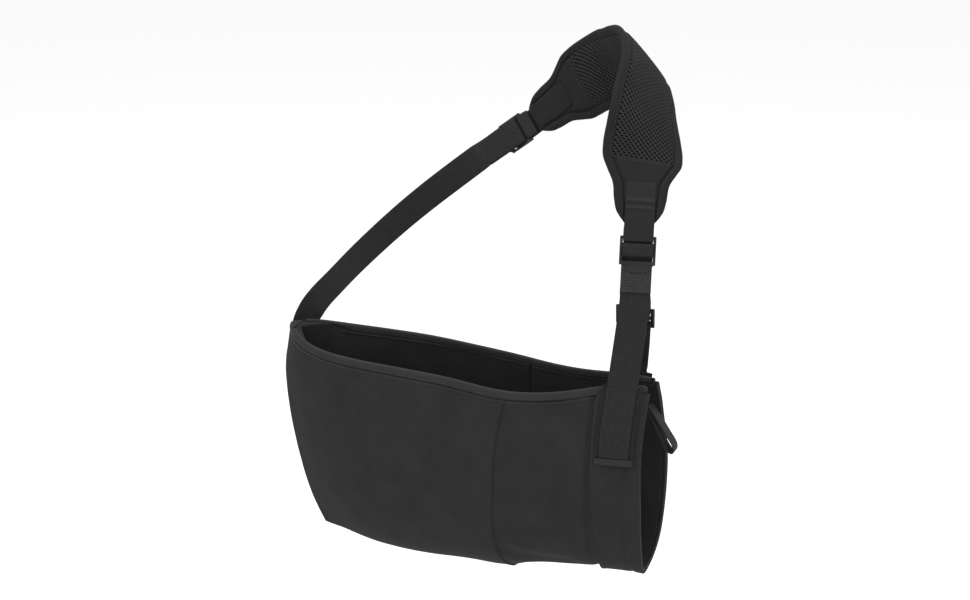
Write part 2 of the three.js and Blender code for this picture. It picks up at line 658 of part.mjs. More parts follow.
// Shoulder pad: thin border all round and a crowned middle, with a spacer mesh on both faces
const endRows = PAD_END_SHAPE.map((row) => row.fromEnd * PAD_END_LENGTH);
const padStations = [
  ...endRows,
  ...Array.from({ length: PAD_MIDDLE_STEPS - 1 }, (_, i) => (
    THREE.MathUtils.lerp(PAD_END_LENGTH, PAD_LENGTH - PAD_END_LENGTH, (i + 1) / PAD_MIDDLE_STEPS)
  )),
  ...endRows.map((row) => PAD_LENGTH - row).reverse(),
];

function padSize(station) {
  const fromEnd = Math.min(station, PAD_LENGTH - station, PAD_END_LENGTH) / PAD_END_LENGTH;
  return {
    width: columnAt(PAD_END_SHAPE, 'fromEnd', 'width', fromEnd) * PAD_WIDTH / 2,
    padding: columnAt(PAD_END_SHAPE, 'fromEnd', 'padding', fromEnd) * PAD_THICKNESS / 2,
  };
}

// A ring across the pad between two heights over its middle layer
function padRing(station, crown, low, high) {
  const frame = loopFrame(padStart + station);
  const size = padSize(station);
  const at = (row, height) => placed(frame, row.across * size.width, height(row.height * size.padding));
  return [...crown.map((row) => at(row, low)), ...crown.map((row) => at(row, high)).reverse()];
}
addSolid('shoulder_pad', skin(padStations.map((station) => (
  padRing(station, PAD_CROWN, (height) => -height, (height) => height)
))), padFabric);

const meshCrown = PAD_CROWN.slice(MESH_BORDER_ROWS, -MESH_BORDER_ROWS);
const outerMeshStations = padStations.slice(MESH_END_ROW, -MESH_END_ROW);
const innerMeshStations = padStations.slice(MESH_END_ROW, -MESH_INNER_REAR_ROW);
const meshNear = (height) => height + CLEARANCE;
const meshFar = (height) => height + CLEARANCE + MESH_THICKNESS;
addSolid('pad_mesh_outer', skin(outerMeshStations.map((station) => (
  padRing(station, meshCrown, meshFar, meshNear)
))), spacerMesh);
addSolid('pad_mesh_inner', skin(innerMeshStations.map((station) => (
  padRing(station, meshCrown, (height) => -meshNear(height), (height) => -meshFar(height))
))), spacerMesh);

// Pad webbings: folded round the top bar of a lock, the outer leaf sewn on the pad's tongue
function padWebbing(lock, direction, start) {
  const barUp = lockTop - LOCK_TOP_BAR - CLEARANCE - half;
  const tongue = [0.04, 0.35, 0.7, 1].map((share) => {
    const station = share * PAD_WEBBING_LAP;
    const frame = loopFrame(start + direction * station);
    const out = padSize(station).padding + WEBBING_ROOM + half;
    return { at: placed(frame, 0, out), across: frame.across };
  });
  return [
    lockRow(lock, lockTop + LOCK_TO_PAD * 0.72, tailOut * 0.5),
    lockRow(lock, lockTop + LOCK_TO_PAD * 0.3, tailOut * 0.9),
    lockRow(lock, lockTop - LOCK_TOP_BAR / 2, tailOut - CLEARANCE / 3),
    lockRow(lock, barUp + WEBBING_ROOM, tailOut * 0.9),
    lockRow(lock, barUp - CLEARANCE, 0),
    lockRow(lock, barUp + WEBBING_ROOM, barOut * 0.9),
    lockRow(lock, lockTop - LOCK_TOP_BAR / 2, barOut + CLEARANCE / 3),
    lockRow(lock, lockTop + LOCK_TO_PAD * 0.4, barOut),
    ...tongue,
  ];
}
for (const [name, lock, direction, start] of [
  ['pad_front_webbing', frontLock, 1, padStart],
  ['pad_rear_webbing', rearLock, -1, padEnd],
]) {
  const frames = framesThrough(padWebbing(lock, direction, start), 2);
  addSolid(name, ribbon(frames, PAD_WEBBING_WIDTH, STRAP_THICKNESS), webbing);
}

// Elbow strap: sewn outside the back panel at the elbow, up the loop and round the rear lock
const bindingOut = 2 * CLEARANCE + BINDING_TAPE + half;
const elbowStrapOut = bindingOut + ELBOW_STRAP_ROOM;
const elbowSewn = sewnRows(ELBOW_STRAP_AT, 1, ELBOW_STRAP_SEWN_DEPTH, elbowStrapOut, SEWN_STEPS);
const loopEnd = loopLine.getLength();
const freeRows = Array.from({ length: FREE_STEPS + 1 }, (_, i) => {
  const start = rearLockAt + gripTop + TAIL_LENGTH * 1.3;
  const frame = loopFrame(THREE.MathUtils.lerp(loopEnd, start, i / FREE_STEPS));
  return { at: placed(frame, 0, loadOut * i / FREE_STEPS), across: frame.across };
});
addSolid('elbow_strap', ribbon(framesThrough([
  ...elbowSewn,
  ...freeRows,
  lockRow(rearLock, -gripTop - TAIL_LENGTH, loadOut),
  lockRow(rearLock, -gripTop - LOCK_GRIP_BAR, loadOut),
  ...lockWrap(rearLock),
], 3), STRAP_WIDTH, STRAP_THICKNESS), webbing);

// Rear leg: sewn outside the back panel, through the slider, and sewn behind the front leg
const rearRows = (out, rise) => {
  const rows = sewnRows(REAR_LEG_AT, 1, REAR_LEG_SEWN_DEPTH, out, SEWN_STEPS);
  const { at, across } = rows[rows.length - 1];
  return [...rows, { at: at.clone().setZ(at.z + rise), across }];
};
const rearSewn = rearRows(legOut + REAR_LEG_ROOM, REAR_BACKING_RISE * 2);
addSolid('rear_backing_strip', ribbon(
  framesThrough(rearRows(backingOut, REAR_BACKING_RISE), 3), REAR_BACKING_WIDTH, BACKING_THICKNESS,
), tape);
const joinOut = loadOut - STRAP_THICKNESS - 2 * CLEARANCE;
const joinLow = lockRow(frontLock, -gripTop - JOIN_LENGTH - LOCK_GRIP_BAR, joinOut);
const joinFoot = lockRow(
  frontLock, -gripTop - JOIN_LENGTH * 1.4 - LOCK_GRIP_BAR, joinOut - JOIN_FOOT_ROOM,
);
const joinMiddle = lockRow(frontLock, -gripTop - JOIN_LENGTH / 2 - LOCK_GRIP_BAR, joinOut);
const joinHigh = lockRow(frontLock, -gripTop - LOCK_GRIP_BAR, joinOut);
const rimRow = rearSewn[rearSewn.length - 1];
const sliderWay = joinLow.at.clone().sub(rimRow.at);
const sliderShare = SLIDER_HEIGHT / sliderWay.length();
const sliderFrame = frameOf(
  rimRow.at.clone().addScaledVector(sliderWay, sliderShare),
  rimRow.across.clone().lerp(joinLow.across, sliderShare),
  sliderWay,
);
const slider = { ...sliderFrame, up: sliderFrame.along };
const sliderOut = SLIDER_THICKNESS / 2 + CLEARANCE + half;
const sliderPitch = SLIDER_BAR + SLIDER_SLOT;
const slotEnd = SLIDER_BAR / 2 + SLIDER_SLOT;
addSolid('rear_leg_strap', ribbon(framesThrough([
  ...rearSewn,
  lockRow(slider, -sliderPitch * 1.8, -sliderOut - WEBBING_ROOM),
  lockRow(slider, -sliderPitch, -sliderOut - WEBBING_ROOM),
  lockRow(slider, -slotEnd - CLEARANCE, -sliderOut),
  lockRow(slider, -slotEnd * 0.66, -sliderOut * 0.45),
  lockRow(slider, -slotEnd * 0.45, sliderOut * 0.5),
  lockRow(slider, -SLIDER_BAR / 2, sliderOut),
  lockRow(slider, SLIDER_BAR / 2, sliderOut),
  lockRow(slider, slotEnd * 0.45, sliderOut * 0.5),
  lockRow(slider, slotEnd * 0.66, -sliderOut * 0.45),
  lockRow(slider, slotEnd + CLEARANCE, -sliderOut),
  lockRow(slider, sliderPitch, -sliderOut - WEBBING_ROOM),
  lockRow(slider, sliderPitch * 1.8, -sliderOut - WEBBING_ROOM),
  joinFoot,
  joinLow,
  joinMiddle,
  joinHigh,
], 3), STRAP_WIDTH, STRAP_THICKNESS), webbing);

const sliderEnd = sliderPitch + SLIDER_BAR / 2;
const sliderShape = roundedPlate(SLIDER_WIDTH, -sliderEnd, sliderEnd, SLIDER_CORNER);
sliderShape.holes.push(slot(LOCK_SLOT_WIDTH, SLIDER_BAR / 2, SLIDER_BAR / 2 + SLIDER_SLOT));
sliderShape.holes.push(slot(LOCK_SLOT_WIDTH, -SLIDER_BAR / 2 - SLIDER_SLOT, -SLIDER_BAR / 2));
addPlate('leg_slider', sliderShape, SLIDER_THICKNESS, slider);

// Thumb loop: a narrow ribbon doubled back on itself, its ends sewn edge on inside the wrist opening
const thumbRoot = pouchPoint(THUMB_LOOP_ROOT.along, THUMB_LOOP_ROOT.girth, 1, POUCH_WALL);
const thumbDrop = THREE.MathUtils.degToRad(THUMB_LOOP_DROP);
const thumbWay = new THREE.Vector3(Math.cos(thumbDrop), -0.15, -Math.sin(thumbDrop)).normalize();
const thumbOpening = new THREE.Vector3(Math.sin(thumbDrop), 0, Math.cos(thumbDrop));
const thumbStand = THUMB_RIBBON_WIDTH / 2 + THUMB_LOOP_ROOM;

function thumbRow(way, opened) {
  const gap = THREE.MathUtils.lerp(THUMB_ROOT_GAP, THUMB_LOOP_GAP, Math.sin(way * Math.PI / 2));
  const at = thumbRoot.clone().addScaledVector(thumbWay, way * THUMB_LOOP_LENGTH);
  at.addScaledVector(thumbOpening, opened * (gap + THUMB_RIBBON_THICKNESS) / 2);
  at.y -= thumbStand;
  return { at, across: new THREE.Vector3(0, 1, 0) };
}
addSolid('thumb_loop', ribbon(framesThrough([
  thumbRow(0, -1),
  thumbRow(0.3, -1),
  thumbRow(0.65, -1),
  thumbRow(0.92, -0.9),
  thumbRow(1, 0),
  thumbRow(0.92, 0.9),
  thumbRow(0.65, 1),
  thumbRow(0.3, 1),
  thumbRow(0, 1),
], 2), THUMB_RIBBON_WIDTH, THUMB_RIBBON_THICKNESS), tape);

// The whole sling hangs from the pad's inner face at the top of the loop
const shoulder = loopRows[SHOULDER_ROW].at.clone();
sling.position.copy(shoulder).negate();
sling.position.z += PAD_THICKNESS / 2;

const armSling = new THREE.Group();
armSling.add(sling);

export default armSling;
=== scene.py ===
"""An arm sling as it hangs on a wearer: a bound fabric pouch on webbing from a mesh-faced shoulder pad."""

import math

import bmesh
import bpy
import numpy as np
from mathutils import Matrix, Vector, kdtree, noise
from mathutils.bvhtree import BVHTree


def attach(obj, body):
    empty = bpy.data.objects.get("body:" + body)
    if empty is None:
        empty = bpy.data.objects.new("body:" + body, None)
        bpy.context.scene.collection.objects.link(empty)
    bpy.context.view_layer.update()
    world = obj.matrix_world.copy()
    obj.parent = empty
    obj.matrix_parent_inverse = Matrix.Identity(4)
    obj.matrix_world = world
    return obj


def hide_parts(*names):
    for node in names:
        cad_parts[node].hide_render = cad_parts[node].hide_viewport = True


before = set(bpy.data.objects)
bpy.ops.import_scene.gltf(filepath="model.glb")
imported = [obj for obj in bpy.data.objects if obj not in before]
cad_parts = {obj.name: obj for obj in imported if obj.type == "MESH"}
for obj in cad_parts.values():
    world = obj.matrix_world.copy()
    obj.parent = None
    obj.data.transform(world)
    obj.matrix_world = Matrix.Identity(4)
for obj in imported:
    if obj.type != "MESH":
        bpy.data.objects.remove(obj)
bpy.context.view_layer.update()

# Pouch: black brushed fabric over thin foam, the front and back panels sewn together at the elbow and
# along the bottom. The elbow part and the wrist part meet in an upright seam with rolled edges.
MM = 0.001
SHARP_EDGE = math.radians(80)
SOFT_EDGE = math.radians(50)
SHRINK_SHARE = 0.8
POUCH_COLOUR = (0.0195, 0.0197, 0.0202)


def skin_of(node):
    """The mesh of a CAD node with its corners joined and its triangles paired into quads."""
    mesh = bmesh.new()
    mesh.from_mesh(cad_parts[node].data)
    bmesh.ops.remove_doubles(mesh, verts=mesh.verts, dist=0.002 * MM)
    bmesh.ops.join_triangles(
        mesh,
        faces=mesh.faces,
        angle_face_threshold=math.radians(50),
        angle_shape_threshold=math.radians(60),
    )
    return mesh


def add_piece(name, mesh, material, node=None):
    """A shown piece from a bmesh or a mesh, riding on the part and standing for a CAD node if it has one."""
    if isinstance(mesh, bmesh.types.BMesh):
        data = bpy.data.meshes.new(name)
        bmesh.ops.recalc_face_normals(mesh, faces=mesh.faces)
        mesh.to_mesh(data)
        mesh.free()
    else:
        data = mesh
    for polygon in data.polygons:
        polygon.use_smooth = True
    data.materials.append(material)
    piece = bpy.data.objects.new(name, data)
    bpy.context.scene.collection.objects.link(piece)
    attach(piece, "root")
    if node:
        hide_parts(node)
    return piece


def smoothed(node, name, cuts, material, hard=1.0, soft=0.5, turns=0):
    """A rounded copy of a CAD node, its wall edges creased by hard and its seam folds by soft."""
    mesh = skin_of(node)
    crease = mesh.edges.layers.float.new("crease_edge")
    for edge in mesh.edges:
        bend = edge.calc_face_angle(0)
        edge[crease] = hard if bend > SHARP_EDGE else soft if bend > SOFT_EDGE else 0
    piece = add_piece(name, mesh, material, node)
    rounding = piece.modifiers.new("rounding", "SUBSURF")
    rounding.levels = rounding.render_levels = cuts
    cage = points_of(piece)
    for turn in range(turns):
        rounded = piece.evaluated_get(bpy.context.evaluated_depsgraph_get())
        lost = cage - points_of(rounded)[:len(cage)]
        move_points(piece, points_of(piece) + lost * SHRINK_SHARE)
    bpy.context.view_layer.objects.active = piece
    bpy.ops.object.modifier_apply(modifier=rounding.name)
    return piece


def points_of(piece):
    flat = np.empty(len(piece.data.vertices) * 3)
    piece.data.vertices.foreach_get("co", flat)
    return flat.reshape(-1, 3)


def normals_of(piece):
    flat = np.empty(len(piece.data.vertices) * 3)
    piece.data.vertices.foreach_get("normal", flat)
    return flat.reshape(-1, 3)


def move_points(piece, points):
    piece.data.vertices.foreach_set("co", points.ravel())
    piece.data.update()


def off_line(points, line):
    """How far each point lies from a line through corners in the upright plane of the front panel."""
    flat = points[:, [0, 2]]
    best = np.full(len(points), 1e9)
    for start, end in zip(line, line[1:]):
        a, b = np.array(start), np.array(end)
        share = np.clip(((flat - a) @ (b - a)) / ((b - a) @ (b - a)), 0, 1)
        best = np.minimum(best, np.linalg.norm(flat - a - share[:, None] * (b - a), axis=1))
    return best


def press(piece, line, width, depth, side=-1):
    """Presses a soft groove along a line into the panel's outer face, or raises it for a depth below 0."""
    points, normals = points_of(piece), normals_of(piece)
    outer = np.clip(side * normals[:, 1] * 2, 0, 1)
    amount = depth * np.exp(-((off_line(points, line) / width) ** 2)) * outer
    move_points(piece, points - normals * amount[:, None])


def near_points(piece, others, reach):
    """The points of a piece that lie within reach of other points."""
    tree = kdtree.KDTree(len(others))
    for i, point in enumerate(others):
        tree.insert(point, i)
    tree.balance()
    points = points_of(piece)
    return points, np.array([tree.find(point)[2] for point in points]) < reach


def roll_edge(piece, edge_points, width, depth):
    """Draws a wall's faces together towards one of its edges, as a turned and sewn edge is."""
    tree = kdtree.KDTree(len(edge_points))
    for i, point in enumerate(edge_points):
        tree.insert(point, i)
    tree.balance()
    points, normals = points_of(piece), normals_of(piece)
    away = np.array([tree.find(point)[2] for point in points])
    amount = depth * np.exp(-((away / width) ** 2))
    move_points(piece, points - normals * amount[:, None])


def ripple(piece, size, height, seed):
    """Lets cloth wander softly off its smooth shape, both faces of the wall together."""
    points, normals = points_of(piece), normals_of(piece)
    shift = Vector((seed, seed * 2, seed * 3))
    for i, point in enumerate(points):
        away = noise.noise(Vector(point) / size + shift)
        points[i, 1] += height * away
    move_points(piece, points)


def grain_group():
    """Short fibres and slow unevenness of a brushed fabric, as one height and one fleck value."""
    group = bpy.data.node_groups.new("Fabric grain", "ShaderNodeTree")
    group.interface.new_socket("Vector", in_out="INPUT", socket_type="NodeSocketVector")
    group.interface.new_socket("Height", in_out="OUTPUT", socket_type="NodeSocketFloat")
    group.interface.new_socket("Fleck", in_out="OUTPUT", socket_type="NodeSocketFloat")
    nodes, links = group.nodes, group.links
    source, result = nodes.new("NodeGroupInput"), nodes.new("NodeGroupOutput")
    fibre, cloud = nodes.new("ShaderNodeTexNoise"), nodes.new("ShaderNodeTexNoise")
    fibre.inputs["Scale"].default_value = 1100
    fibre.inputs["Detail"].default_value = 3
    cloud.inputs["Scale"].default_value = 38
    cloud.inputs["Detail"].default_value = 4
    blend = nodes.new("ShaderNodeMath")
    blend.operation = "MULTIPLY_ADD"
    blend.inputs[1].default_value = 0.6
    links.new(source.outputs["Vector"], fibre.inputs["Vector"])
    links.new(source.outputs["Vector"], cloud.inputs["Vector"])
    links.new(cloud.outputs["Fac"], blend.inputs[0])
    links.new(fibre.outputs["Fac"], blend.inputs[2])
    links.new(fibre.outputs["Fac"], result.inputs["Height"])
    links.new(blend.outputs[0], result.inputs["Fleck"])
    return group


def add_group(tree, group, vector):
    """A group node fed with a vector."""
    made = tree.nodes.new("ShaderNodeGroup")
    made.node_tree = group
    tree.links.new(vector, made.inputs["Vector"])
    return made


def two_tone(tree, value, low, high, colour, spread):
    """A colour that runs from darker to lighter than the given one as a value runs from low to high."""
    ramp = tree.nodes.new("ShaderNodeMapRange")
    ramp.inputs["From Min"].default_value = low
    ramp.inputs["From Max"].default_value = high
    mix = tree.nodes.new("ShaderNodeMix")
    mix.data_type = "RGBA"
    mix.inputs["A"].default_value = (*[c * (1 - spread) for c in colour], 1)
    mix.inputs["B"].default_value = (*[c * (1 + spread) for c in colour], 1)
    tree.links.new(value, ramp.inputs["Value"])
    tree.links.new(ramp.outputs["Result"], mix.inputs["Factor"])
    return mix.outputs["Result"]


def bumped(tree, height, distance, strength=1.0):
    bump = tree.nodes.new("ShaderNodeBump")
    bump.inputs["Strength"].default_value = strength
    bump.inputs["Distance"].default_value = distance
    tree.links.new(height, bump.inputs["Height"])
    return bump.outputs["Normal"]


def cloth_material(name, colour, fibre=0.12 * MM, sheen=0.012, roughness=0.9):
    """A matt fabric with a fine nap and slow changes of tone."""
    material = bpy.data.materials.new(name)
    material.use_nodes = True
    tree = material.node_tree
    surface = tree.nodes["Principled BSDF"]
    place = tree.nodes.new("ShaderNodeTexCoord")
    grain = add_group(tree, FABRIC_GRAIN, place.outputs["Object"])
    tree.links.new(two_tone(tree, grain.outputs["Fleck"], 0.45, 1.05, colour, 0.22), surface.inputs["Base Color"])
    tree.links.new(bumped(tree, grain.outputs["Height"], fibre), surface.inputs["Normal"])
    surface.inputs["Roughness"].default_value = roughness
    surface.inputs["Specular IOR Level"].default_value = 0.06
    surface.inputs["Sheen Weight"].default_value = sheen
    surface.inputs["Sheen Roughness"].default_value = 0.45
    return material


FABRIC_GRAIN = grain_group()
pouch_cloth = cloth_material("Pouch fabric", POUCH_COLOUR)

elbow = smoothed("elbow_pouch", "pouch_elbow_part", 3, pouch_cloth, turns=2)
sleeve = smoothed("wrist_sleeve", "pouch_wrist_part", 3, pouch_cloth, turns=2)
elbow_points, elbow_seam = near_points(elbow, points_of(sleeve), 0.8 * MM)
sleeve_points, sleeve_seam = near_points(sleeve, elbow_points, 0.8 * MM)
roll_edge(elbow, elbow_points[elbow_seam], 2.6 * MM, 1.1 * MM)
roll_edge(sleeve, sleeve_points[sleeve_seam], 2.6 * MM, 0.6 * MM)
for part in (elbow, sleeve):
    ripple(part, 60 * MM, 1.6 * MM, 3)
    ripple(part, 24 * MM, 0.5 * MM, 8)

# Creases of the front panel, as corners in the panel's upright plane, in metres
FOREARM_CREASE = [(-0.2504, -0.335), (-0.2563, -0.3887), (-0.2458, -0.4206), (-0.2222, -0.438),
                  (-0.1818, -0.4521), (-0.136, -0.4525), (-0.0853, -0.4435)]
SEAM_FOLD = [(-0.0729, -0.4641), (-0.0547, -0.4702), (-0.0315, -0.4734), (-0.005, -0.474)]
press(elbow, FOREARM_CREASE, 2.6 * MM, -1.8 * MM)
press(elbow, [(x + 0.003, z + 0.004) for x, z in FOREARM_CREASE], 3.2 * MM, 2.2 * MM)
press(sleeve, SEAM_FOLD, 7 * MM, 2.0 * MM)
press(sleeve, [(x, z - 0.012) for x, z in SEAM_FOLD], 6 * MM, -0.8 * MM)

# Stitching: black thread a little darker than the cloth. Each stitch is a short pill that lies
# along a line of points and sinks half its height in the cloth.
THREAD_COLOUR = (0.0115, 0.0115, 0.012)


def thread_material():
    material = bpy.data.materials.new("Thread")
    material.use_nodes = True
    tree = material.node_tree
    surface = tree.nodes["Principled BSDF"]
    place = tree.nodes.new("ShaderNodeTexCoord")
    grain = add_group(tree, FABRIC_GRAIN, place.outputs["Object"])
    tree.links.new(two_tone(tree, grain.outputs["Fleck"], 0.45, 1.05, THREAD_COLOUR, 0.2), surface.inputs["Base Color"])
    tree.links.new(bumped(tree, grain.outputs["Height"], 0.08 * MM), surface.inputs["Normal"])
    surface.inputs["Roughness"].default_value = 0.6
    return material


def spaced(points, step):
    """Points at even steps along a line of points."""
    points = np.array([tuple(point) for point in points])
    along = np.r_[0, np.cumsum(np.linalg.norm(np.diff(points, axis=0), axis=1))]
    count = max(int(round(along[-1] / step)), 1)
    at = np.linspace(0, along[-1], count + 1)
    return np.stack([np.interp(at, along, points[:, k]) for k in range(3)], axis=1)


def stitch_line(mesh, points, outs, length=2.4 * MM, gap=1.0 * MM, radius=0.32 * MM):
    """Adds a row of stitches to a mesh along points, standing off them along outs."""
    line = spaced(points, length + gap)
    side = spaced_like(points, outs, len(line))
    for start, end, out in zip(line, line[1:], side):
        start, end, out = Vector(start), Vector(end), Vector(out).normalized()
        way = (end - start).normalized()
        across = way.cross(out).normalized()
        end = start + way * length
        rings = []
        for share, size in ((0, 0.35), (0.25, 1.0), (0.75, 1.0), (1, 0.35)):
            centre = start.lerp(end, share) + out * radius * (size - 0.6)
            rings.append([
                mesh.verts.new(centre + across * radius * size),
                mesh.verts.new(centre + out * radius * size * 0.8),
                mesh.verts.new(centre - across * radius * size),
                mesh.verts.new(centre - out * radius * size),
            ])
        for low, high in zip(rings, rings[1:]):
            for k in range(4):
                mesh.faces.new((low[k], low[k - 1], high[k - 1], high[k]))
        mesh.faces.new(rings[0])
        mesh.faces.new(rings[-1][::-1])


def spaced_like(points, values, count):
    """Values given at points, read at count even places along them."""
    points, values = np.array([tuple(p) for p in points]), np.array([tuple(v) for v in values])
    along = np.r_[0, np.cumsum(np.linalg.norm(np.diff(points, axis=0), axis=1))]
    at = np.linspace(0, along[-1], count)
    return np.stack([np.interp(at, along, values[:, k]) for k in range(3)], axis=1)


thread = thread_material()
stitches = bmesh.new()

# Rim binding: woven tape folded over the edge of each panel and sewn through, a shade lighter than
# the pouch. The corner tape turns the same binding over the elbow seam.
TAPE_COLOUR = (0.023, 0.0233, 0.024)
# The tape under the legs' feet is painted darker than the pouch: painted shade from the strap that lies over it.
BACKING_SHADE_COLOUR = (0.015, 0.0152, 0.0155)


def rings_of(node, count):
    """The rings of a CAD skin from one end to the other, each with count points in the same order round."""
    mesh = bmesh.new()
    mesh.from_mesh(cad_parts[node].data)
    bmesh.ops.remove_doubles(mesh, verts=mesh.verts, dist=0.002 * MM)
    waiting = set(mesh.faces)
    while waiting:
        cap, edge_of = set(), [waiting.pop()]
        while edge_of:
            face = edge_of.pop()
            cap.add(face)
            for edge in face.edges:
                for other in edge.link_faces:
                    if other not in cap and other in waiting and edge.calc_face_angle(0) < math.radians(40):
                        waiting.discard(other)
                        edge_of.append(other)
        if len(cap) != count - 2:
            continue
        levels = levels_from(mesh, {vert for face in cap for vert in face.verts})
        if all(len(level) == count for level in levels) and len(levels) * count == len(mesh.verts):
            break
    rings = [ordered(levels[0])]
    for level in levels[1:]:
        ring, before = ordered(level), rings[-1]
        turns = [ring[k:] + ring[:k] for k in range(count)]
        turns += [turn[::-1] for turn in turns]
        rings.append(min(turns, key=lambda turn: sum((a.co - b.co).length for a, b in zip(turn, before))))
    rings = [[vert.co.copy() for vert in ring] for ring in rings]
    mesh.free()
    return rings


def levels_from(mesh, start):
    """Groups of corners by how many edges they lie from a first group."""
    levels, seen = [start], set(start)
    while True:
        level = {edge.other_vert(vert) for vert in levels[-1] for edge in vert.link_edges} - seen
        if not level:
            return levels
        levels.append(level)
        seen |= level


def ordered(level):
    """The corners of one ring in order round it, by the edges that join ring to ring."""
    start = min(level, key=lambda vert: vert.index)
    ring = [start]
    while len(ring) < len(level):
        here = ring[-1]
        steps = []
        for edge in here.link_edges:
            other = edge.other_vert(here)
            if other in level and other not in ring:
                inside = all(set(face.verts) <= level for face in edge.link_faces)
                steps.append((inside, edge.calc_length(), other.index, other))
        ring.append(min(steps)[3])
    return ring


tape_cloth = cloth_material("Binding tape", TAPE_COLOUR, fibre=0.1 * MM, sheen=0.06, roughness=0.85)
for side in ("front", "back"):
    smoothed(f"{side}_rim_binding", f"{side}_binding_tape", 2, tape_cloth, hard=0.35, soft=0)
smoothed("elbow_corner_tape", "corner_tape", 2, tape_cloth, hard=0.35, soft=0)

# Cuff: a second layer of the pouch fabric turned round the wrist opening, with a rolled lip.
cuff = smoothed("wrist_cuff", "cuff", 3, pouch_cloth, hard=0.4, soft=0, turns=1)
ripple(cuff, 60 * MM, 1.6 * MM, 3)
ripple(cuff, 24 * MM, 0.5 * MM, 8)
WRIST_ROLL = [(0.0572, -0.28), (0.0572, -0.49)]
CUFF_START = min(point[0] for point in points_of(cuff))
for side in (-1, 1):
    press(cuff, WRIST_ROLL, 2.2 * MM, 1.1 * MM, side=side)
    press(sleeve, [(CUFF_START - 2.2 * MM, z) for x, z in WRIST_ROLL], 3.0 * MM, 1.8 * MM, side=side)
    press(cuff, [(CUFF_START + 3 * MM, z) for x, z in WRIST_ROLL], 2.4 * MM, -0.7 * MM, side=side)

# Webbing: flat woven polypropylene with a rounded selvedge. The front leg and the elbow strap run
# up to a ladder lock, go round its middle bar and come down as a tail with a ribbed, sewn end.
WEBBING_COLOUR = (0.0095, 0.0096, 0.0099)
# The ribbed, sewn tail end is painted lighter than the webbing: a painted highlight for light caught on its ribs.
HEM_HIGHLIGHT_COLOUR = (0.0215, 0.0217, 0.0222)
STRAP_STEP = 0.6 * MM


def frames_of(rings):
    """Centre, across and out vectors of four-cornered rings, with their width and thickness."""
    frames = []
    for ring in rings:
        a, b, c, d = ring
        if (b - a).length < (d - a).length:
            a, b, c, d = b, c, d, a
        across, out = (b + c - a - d) / 2, (c + d - a - b) / 2
        frames.append(((a + b + c + d) / 4, across.normalized(), out.normalized()))
    width, thickness = across.length, out.length
    for k in range(1, len(frames)):
        centre, across, out = frames[k]
        if across.dot(frames[k - 1][1]) < 0:
            across = -across
        if out.dot(frames[k - 1][2]) < 0:
            out = -out
        frames[k] = (centre, across, out)
    return frames, width, thickness


def smooth_rows(rows, step):
    """Rows of numbers at even steps on a smooth curve through given ones, whose first three numbers
    are a place, with the distance along."""
    rows = np.array(rows)
    place = np.r_[0, np.cumsum(np.linalg.norm(np.diff(rows[:, :3], axis=0), axis=1))]
    slope = np.gradient(rows, place, axis=0)
    at = np.linspace(0, place[-1], int(place[-1] / step) + 1)
    k = np.clip(np.searchsorted(place, at, side="right") - 1, 0, len(rows) - 2)
    span = (place[k + 1] - place[k])[:, None]
    t = (at - place[k])[:, None] / span
    fine = rows[k] * (2 * t ** 3 - 3 * t ** 2 + 1) + slope[k] * span * (t ** 3 - 2 * t ** 2 + t)
    fine += rows[k + 1] * (3 * t ** 2 - 2 * t ** 3) + slope[k + 1] * span * (t ** 3 - t ** 2)
    return fine, at


class Strap:
    """A flat strap along a CAD ribbon, from its end nearer to a place, with uv in metres."""

    def __init__(self, node, start, step=STRAP_STEP):
        rings = rings_of(node, 4)
        if (rings[0][0] - start).length > (rings[-1][0] - start).length:
            rings = rings[::-1]
        frames, self.width, self.thickness = frames_of(rings)
        self.rows, self.along = smooth_rows([(*centre, *across, *out) for centre, across, out in frames], step)
        self.length = self.along[-1]

    def point(self, place, across, lift):
        """A point so far along, so far across and so far over the outer or (below 0) inner face."""
        row = np.array([np.interp(place, self.along, self.rows[:, k]) for k in range(9)])
        out = math.copysign(self.thickness / 2, lift) + lift
        return row[:3] + row[3:6] * across + row[6:] * out, row[6:] * math.copysign(1, lift)

    def piece(self, name, node, material, slot, raised=None, spread=1.0):
        """The strap's mesh. raised gives extra thickness by the distance along."""
        half, thick = self.width / 2 * spread, self.thickness / 2
        section = [(-1, 0), (-0.985, 0.62), (-0.95, 0.94), (-0.8, 1), (-0.4, 1), (0, 1), (0.4, 1), (0.8, 1),
                   (0.95, 0.94), (0.985, 0.62), (1, 0)]
        section += [(x, -y) for x, y in section[-2:0:-1]]
        mesh = bmesh.new()
        uv = mesh.loops.layers.uv.new("Metres")
        rings = []
        for row, place in zip(self.rows, self.along):
            centre, across, out = Vector(row[:3]), Vector(row[3:6]).normalized(), Vector(row[6:])
            out = (out - across * out.dot(across)).normalized()
            more = raised(place) if raised else 0
            rings.append([
                mesh.verts.new(centre + across * x * half + out * y * (thick + more)) for x, y in section
            ])
        count = len(section)
        for k, (low, high) in enumerate(zip(rings, rings[1:])):
            for i in range(count):
                j = (i + 1) % count
                face = mesh.faces.new((low[i], low[j], high[j], high[i]))
                for loop, (spot, row) in zip(face.loops, ((i, k), (j, k), (j, k + 1), (i, k + 1))):
                    loop[uv].uv = (section[spot][0] * half, self.along[row])
        mesh.faces.new(rings[0][::-1])
        mesh.faces.new(rings[-1])
        return add_piece(name, mesh, material, node)

    def sew(self, mesh, corners):
        """A stitch line through (place, across, lift) corners on the strap's face."""
        points, outs = [], []
        for start, end in zip(corners, corners[1:]):
            for share in np.linspace(0, 1, 12):
                place, across = (a + (b - a) * share for a, b in zip(start[:2], end[:2]))
                point, out = self.point(place, across, start[2])
                points.append(point)
                outs.append(out)
        stitch_line(mesh, points, outs, length=2.0 * MM, gap=0.9 * MM, radius=0.26 * MM)


